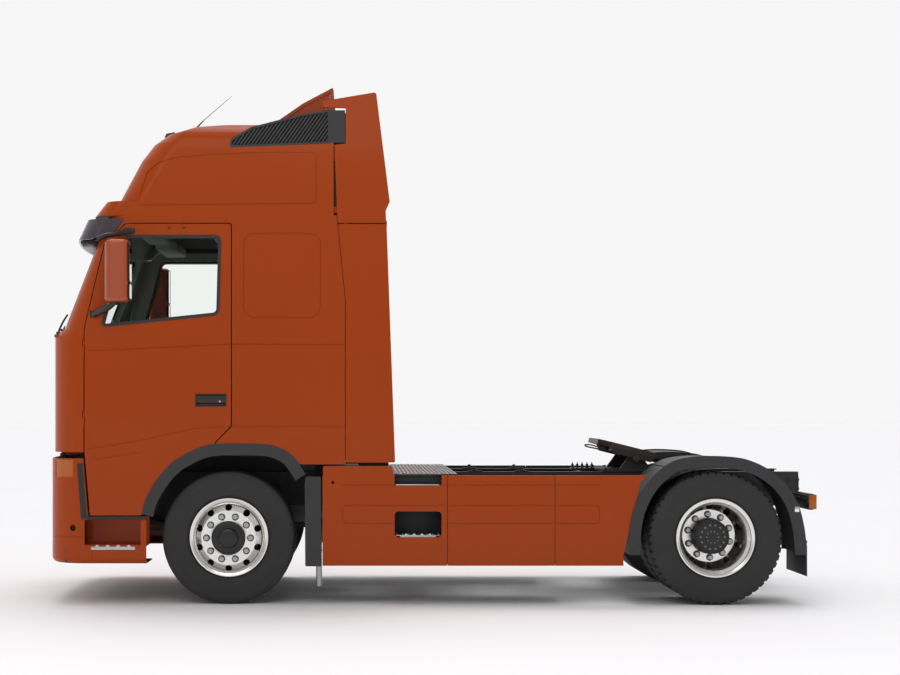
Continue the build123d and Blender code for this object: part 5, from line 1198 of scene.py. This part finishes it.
arches = {
    "rear": [(-2.833, 0.380), (-2.832, 0.423), (-2.812, 0.600), (-2.765, 0.770), (-2.672, 0.920),
             (-2.540, 1.032), (-2.379, 1.105),
             (-2.211, 1.129), (-2.001, 1.129), (-1.833, 1.098), (-1.712, 1.022), (-1.603, 0.900),
             (-1.520, 0.731), (-1.487, 0.563),
             (-1.483, 0.423), (-1.483, 0.380)],
    "front": [(-0.582, 0.990), (-0.495, 1.117), (-0.400, 1.180), (-0.290, 1.212), (-0.100, 1.218),
              (0.090, 1.215), (0.215, 1.188),
              (0.350, 1.121), (0.435, 1.062), (0.508, 0.981), (0.568, 0.893), (0.620, 0.792),
              (0.648, 0.690)],
    # bands: offsets of their two lines towards the wheel, then y from and to
    "guardBands": ((0.0, -0.090, 1.2405, 1.2465), (-0.012, -0.020, 0.600, 1.2410),
                   (-0.012, -0.045, 0.600, 0.606)),
    "flareBands": ((-0.008, 0.082, 1.2450, 1.2505), (0.076, 0.082, 1.215, 1.2455),
                   (0.010, 0.018, 0.712, 1.2455),
                   (0.012, 0.060, 0.712, 0.720)),
}
for side, tag, body in sides:
    guard = bmesh.new()
    line = smoothLine(arches["rear"])[::-1]
    addBands(guard, line, arches["guardBands"], side)
    for share in (0.36, 0.64):
        k = int(share * len(line))
        bandAcross(guard, inwardLine(line, -0.006)[k:k + 2], inwardLine(line, -0.024)[k:k + 2], side * 0.62,
            side * 1.23)
    addBlock(guard, (-2.831, side * 0.9225, 0.335), (0.008, 0.645, 0.230), 0.002)
    addBlock(guard, (-2.827, side * 0.9225, 0.448), (0.014, 0.640, 0.040), 0.004)
    for x in (-1.560, -2.730):
        addRod(guard, (x, side * 0.426, 0.880), (x, side * 0.680, 0.880), 0.020, 20)
        addBlock(guard, (x, side * 0.430, 0.880), (0.090, 0.010, 0.090), 0.004)
    finishPiece("rearMudguard_" + tag, guard, mouldedPlastic, "chassis", 30,
        ("rear_mudguards",) if side > 0 else ())
    mark = bmesh.new()
    addBlock(mark, (-2.757, side * 1.2475, 0.728), (0.034, 0.003, 0.040), 0.001)
    finishPiece("guardReflector_" + tag, mark, lampReflector, "chassis")

    flare = bmesh.new()
    line = smoothLine([(ahead(x), z) for x, z in arches["front"]])
    addBands(flare, line, arches["flareBands"], side)
    finishPiece("archFlare_" + tag, flare, mouldedPlastic, "cab", 30,
        ("arch_flares",) if side > 0 else ())

print("stage: fifth wheel and couplings")

wheelFrame = {"pivot": (-1.661, 0.0, 1.093), "tilt": math.radians(14.2)}


def onPlate(x, y, z):
    c, k = math.cos(wheelFrame["tilt"]), math.sin(wheelFrame["tilt"])
    return Vector(wheelFrame["pivot"]) + Vector((x * c - z * k, y, x * k + z * c))


lever = bmesh.new()
tubeMesh(lever, [(-1.430, 0.400, 1.160), (-1.350, 0.440, 1.186), (-1.275, 0.450, 1.206),
    (-1.243, 0.450, 1.200), (-1.262, 0.450, 1.186), (-1.340, 0.440, 1.172), (-1.430, 0.410, 1.150)], 0.0055,
    4)
for side in (1, -1):
    addPlate(lever, [onPlate(x, side * 0.440, z) for x, z in ((0.222, 0.041), (-0.150, 0.041),
        (-0.120, -0.004), (0.190, -0.004))], (0, side * 0.009, 0))
addRod(lever, onPlate(-0.10, 0.30, 0.024), onPlate(0.06, 0.30, 0.024), 0.016, 16)
finishPiece("releaseLever", lever, castIron, "coupling_plate")
lips = bmesh.new()
for side in (1, -1):
    for x in (0.18, -0.02, -0.22, -0.42):
        y = 0.36 if x > -0.2 else (0.31 if x > -0.3 else 0.24)
        addTurned(lips, [(0.0, 0.0012), (0.010, 0.0012), (0.012, 0.0), (0.012, -0.004), (0.0, -0.004)],
            onPlate(x, side * y, 0.080), onPlate(0, 0, 1) - onPlate(0, 0, 0), 14)
    addRod(lips, Vector(wheelFrame["pivot"]) + Vector((0, side * 0.405, 0)),
        Vector(wheelFrame["pivot"]) + Vector((0, side * 0.452, 0)), 0.030, 6)
finishPiece("couplingPlateFittings", lips, greasedSteel, "coupling_plate")

heads = bmesh.new()
hoses = bmesh.new()
addBlock(heads, (ahead(-2.780), 0, 0.927), (0.012, 0.834, 0.100), 0.001)
addBlock(heads, (ahead(-2.780), 0, 0.977), (0.012, 0.690, 0.020), 0.001)
addBlock(heads, (ahead(-2.835), 0, 0.995), (0.190, 0.120, 0.020), 0.004)
for n in range(5):
    x = ahead(-2.755 - 0.040 * n)
    addTurned(heads, [(0.0, 0.048), (0.003, 0.047), (0.0045, 0.036), (0.006, 0.033), (0.0105, 0.030),
        (0.0115, 0.022), (0.008, 0.018), (0.0065, 0.010), (0.0130, 0.007), (0.0130, -0.001), (0.0, -0.001)],
        (x, 0, 1.004), (0, 0, 1), 18)
finishPiece("couplingHeads", heads, blackAbs, "chassis", 35, ("couplings",))
for n, y in enumerate((0.10, 0.05, -0.04, -0.09)):
    tubeMesh(hoses, [(-1.36, y, 0.955), (-1.20, y + 0.01, 0.945), (-0.9, y, 0.950),
        (-0.55, y - 0.02, 0.945), (-0.15, y, 0.950), (0.30, y + 0.01, 0.945), (0.60, y, 0.93)],
        0.010 if n % 2 else 0.013, 3)
for x in (-1.10, -0.70, -0.30, 0.15, 0.50):
    addBlock(hoses, (x, 0.005, 0.948), (0.016, 0.26, 0.010), 0.003)
finishPiece("frameAirLines", hoses, sealRubber, "chassis")

print("stage: cab interior")

interior = {"seatY": 0.64, "cap": 0.026, "voxel": 0.012, "mattressVoxel": 0.017, "mattressCap": 0.022,
    "pressure": 4.0, "frames": 20}


def padStart(name, build, voxel):
    bm = bmesh.new()
    build(bm)
    bmesh.ops.recalc_face_normals(bm, faces=bm.faces)
    mesh = bpy.data.meshes.new(name)
    bm.to_mesh(mesh)
    bm.free()
    pad = bpy.data.objects.new(name, mesh)
    bpy.context.scene.collection.objects.link(pad)
    remesh = pad.modifiers.new("voxels", "REMESH")
    remesh.mode = "VOXEL"
    remesh.voxel_size = voxel
    fine = bpy.data.meshes.new_from_object(pad.evaluated_get(bpy.context.evaluated_depsgraph_get()))
    pad.modifiers.clear()
    pad.data = fine
    return pad


def inflate(pads):
    # Cloth pressure swells every pad at once; each point moves no further than its pad's cap
    for pad, cap in pads:
        cloth = pad.modifiers.new("swell", "CLOTH")
        cloth.settings.quality = 4
        cloth.settings.use_pressure = True
        cloth.settings.uniform_pressure_force = interior["pressure"]
        cloth.settings.effector_weights.gravity = 0.0
        cloth.collision_settings.use_collision = False
        cloth.point_cache.frame_end = interior["frames"]
    for step in range(1, interior["frames"] + 1):
        bpy.context.scene.frame_set(step)
    for pad, cap in pads:
        swollen = bpy.data.meshes.new_from_object(pad.evaluated_get(bpy.context.evaluated_depsgraph_get()))
        for start, end in zip(pad.data.vertices, swollen.vertices):
            move = end.co - start.co
            if move.length > cap:
                move *= cap / move.length
            end.co = start.co + move
        pad.modifiers.clear()
        pad.data = swollen
    bpy.context.scene.frame_set(1)
    for pad, cap in pads:
        for face in pad.data.polygons:
            face.use_smooth = True
        finer = pad.modifiers.new("finer", "SUBSURF")
        finer.levels = 1
        finer.render_levels = 1


def seatPart(part, y):
    def build(bm):
        if part == "Cushion":
            addBlock(bm, (ahead(0.340), y, 1.822), (0.445, 0.435, 0.078), 0.020)
            for edge in (-1, 1):
                addBlock(bm, (ahead(0.330), y + edge * 0.185, 1.840), (0.400, 0.072, 0.066), 0.022)
        elif part == "Back":
            corners = [(ahead(a), y - 0.205, z) for a, z in ((0.112, 1.900), (0.006, 2.480),
                (-0.058, 2.480), (0.034, 1.900))]
            addPlate(bm, corners, (0, 0.410, 0))
            for edge in (-1, 1):
                wing = [(ahead(a), y + edge * 0.175 - 0.035, z) for a, z in ((0.130, 1.960), (0.040, 2.400),
                    (-0.010, 2.400), (0.060, 1.960))]
                addPlate(bm, wing, (0, 0.070, 0))
        else:
            addBlock(bm, (ahead(-0.040), y, 2.600), (0.052, 0.240, 0.140), 0.018)
    return build


pads = []
for side, tag in ((1, "driver"), (-1, "passenger")):
    y = side * interior["seatY"]
    for part in ("Cushion", "Back", "Headrest"):
        pad = padStart(tag + "Seat" + part, seatPart(part, y), interior["voxel"])
        pad.data.materials.clear()
        pad.data.materials.append(seatCloth)
        pads.append((pad, interior["cap"] if part != "Headrest" else 0.018))
mattress = padStart("mattress", lambda bm: addBlock(bm, (1.078, 0, 1.955), (0.655, 2.30, 0.066), 0.015),
    interior["mattressVoxel"])
mattress.data.materials.clear()
mattress.data.materials.append(bunkCloth)
pads.append((mattress, interior["mattressCap"]))
inflate(pads)
for pad, cap in pads:
    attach(pad, "cab")
seatBase = {"folds": 6, "foldPitch": 0.036, "firstFold": 1.507}
for side, tag in ((1, "driver"), (-1, "passenger")):
    y = side * interior["seatY"]
    base = bmesh.new()
    addBlock(base, (ahead(0.330), y, 1.474), (0.42, 0.38, 0.036), 0.006)
    for k in range(seatBase["folds"]):
        narrower = 0.02 * (k % 2)
        z = seatBase["firstFold"] + seatBase["foldPitch"] * k
        addBlock(base, (ahead(0.330), y, z), (0.38 - narrower, 0.34 - narrower, 0.034), 0.010)
    addBlock(base, (ahead(0.340), y, 1.745), (0.47, 0.46, 0.046), 0.015)
    addBlock(base, (ahead(0.345), y, 1.775), (0.44, 0.43, 0.02), 0.006)
    for edge in (-1, 1):
        addBlock(base, (ahead(0.23), y + edge * 0.226, 2.075), (0.30, 0.042, 0.050), 0.018, segments=4)
        addRod(base, (ahead(0.09), y + edge * 0.215, 2.070), (ahead(0.06), y + edge * 0.190, 2.070), 0.016,
            16)
        addRod(base, (ahead(-0.030), y + edge * 0.060, 2.46), (ahead(-0.040), y + edge * 0.060, 2.55),
            0.007, 12)
        addBlock(base, (ahead(0.20), y + edge * 0.236, 1.78), (0.20, 0.024, 0.06), 0.008)
    stands = ("seats",) if tag == "driver" else ()
    finishPiece(tag + "SeatBase", base, blackAbs, "cab", 35, stands)

# Lockers, their doors and pulls, and the board across them
lockerRows = (
    ((1.078, 0.80, 1.680), (0.64, 0.50, 0.44), 0.012),
    ((1.400, 0.80, 1.690), (0.012, 0.44, 0.36), 0.008),
    ((1.409, 0.80, 1.840), (0.010, 0.12, 0.022), 0.004),
    ((1.083, 0, 1.910), (0.690, 2.33, 0.016), 0.004),
)
lockers = bmesh.new()
for side in (1, -1):
    addBlocks(lockers, lockerRows, side)
finishPiece("bunkLockers", lockers, dashSkin, "cab", 35, ("bunk",))

fascia = {"top": (0.860, 2.030), "edge": (0.800, 1.930), "panel": (0.830, 1.980), "dialY": (0.565, 0.715)}
top, edge, panel = (Vector((ahead(fascia[key][0]), 0, fascia[key][1])) for key in ("top", "edge", "panel"))
slope = (top - edge).normalized()
faceOut = Vector((-slope.z, 0, slope.x))
dash = bmesh.new()
dials = bmesh.new()
hub = Vector((ahead(0.755), 0.64, 2.065))
tilt = Vector((-0.5, 0, 0.87)).normalized()
addTurned(dash, [(0.0, 0.030), (0.045, 0.028), (0.066, 0.020), (0.074, 0.008), (0.074, -0.020),
    (0.040, -0.030), (0.0, -0.030)], hub, tilt, 40)
panel += faceOut * 0.004
hood = slope.to_track_quat("Z", "Y").to_matrix().to_4x4()
for y in fascia["dialY"]:
    addTurned(dials, [(0.046, 0.006), (0.052, 0.009), (0.055, 0.004), (0.055, -0.004), (0.0, -0.004),
        (0.0, 0.001), (0.046, 0.001)], panel + Vector((0, y, 0)), faceOut, 36)
addTurned(dials, [(0.018, 0.004), (0.021, 0.006), (0.023, 0.002), (0.023, -0.004), (0.0, -0.004),
    (0.0, 0.001), (0.018, 0.001)], panel + Vector((0, 0.64, 0)) + slope * 0.022, faceOut, 24)
for y, wide in ((0.96, 0.10), (0.36, 0.10), (0.12, 0.22), (-0.36, 0.10), (-0.96, 0.10)):
    for k in range(4):
        addBlock(dash, panel + Vector((0, y, 0)) + slope * (-0.030 + 0.020 * k) + faceOut * 0.004,
            (0.012, wide, 0.007), 0.002, hood)
for k in range(6):
    addBlock(dash, panel + Vector((0, -0.02 - 0.045 * k, 0)) + slope * -0.012 + faceOut * 0.003,
        (0.010, 0.034, 0.022), 0.003, hood)
addBlock(dash, (ahead(0.93), 0.64, 2.058), (0.16, 0.34, 0.040), 0.016)
finishPiece("dashboardFittings", dash, blackAbs, "cab")
finishPiece("dashboardDials", dials, castAlloy, "cab")

trim = bmesh.new()
addBlock(trim, (1.32, 0, 2.905), (0.90, 1.90, 0.020), 0.008)
for y in (-0.62, 0.62):
    addBlock(trim, (2.18, y, 2.86), (0.18, 0.80, 0.07), 0.012)
finishPiece("headliningTrim", trim, headlining, "cab")
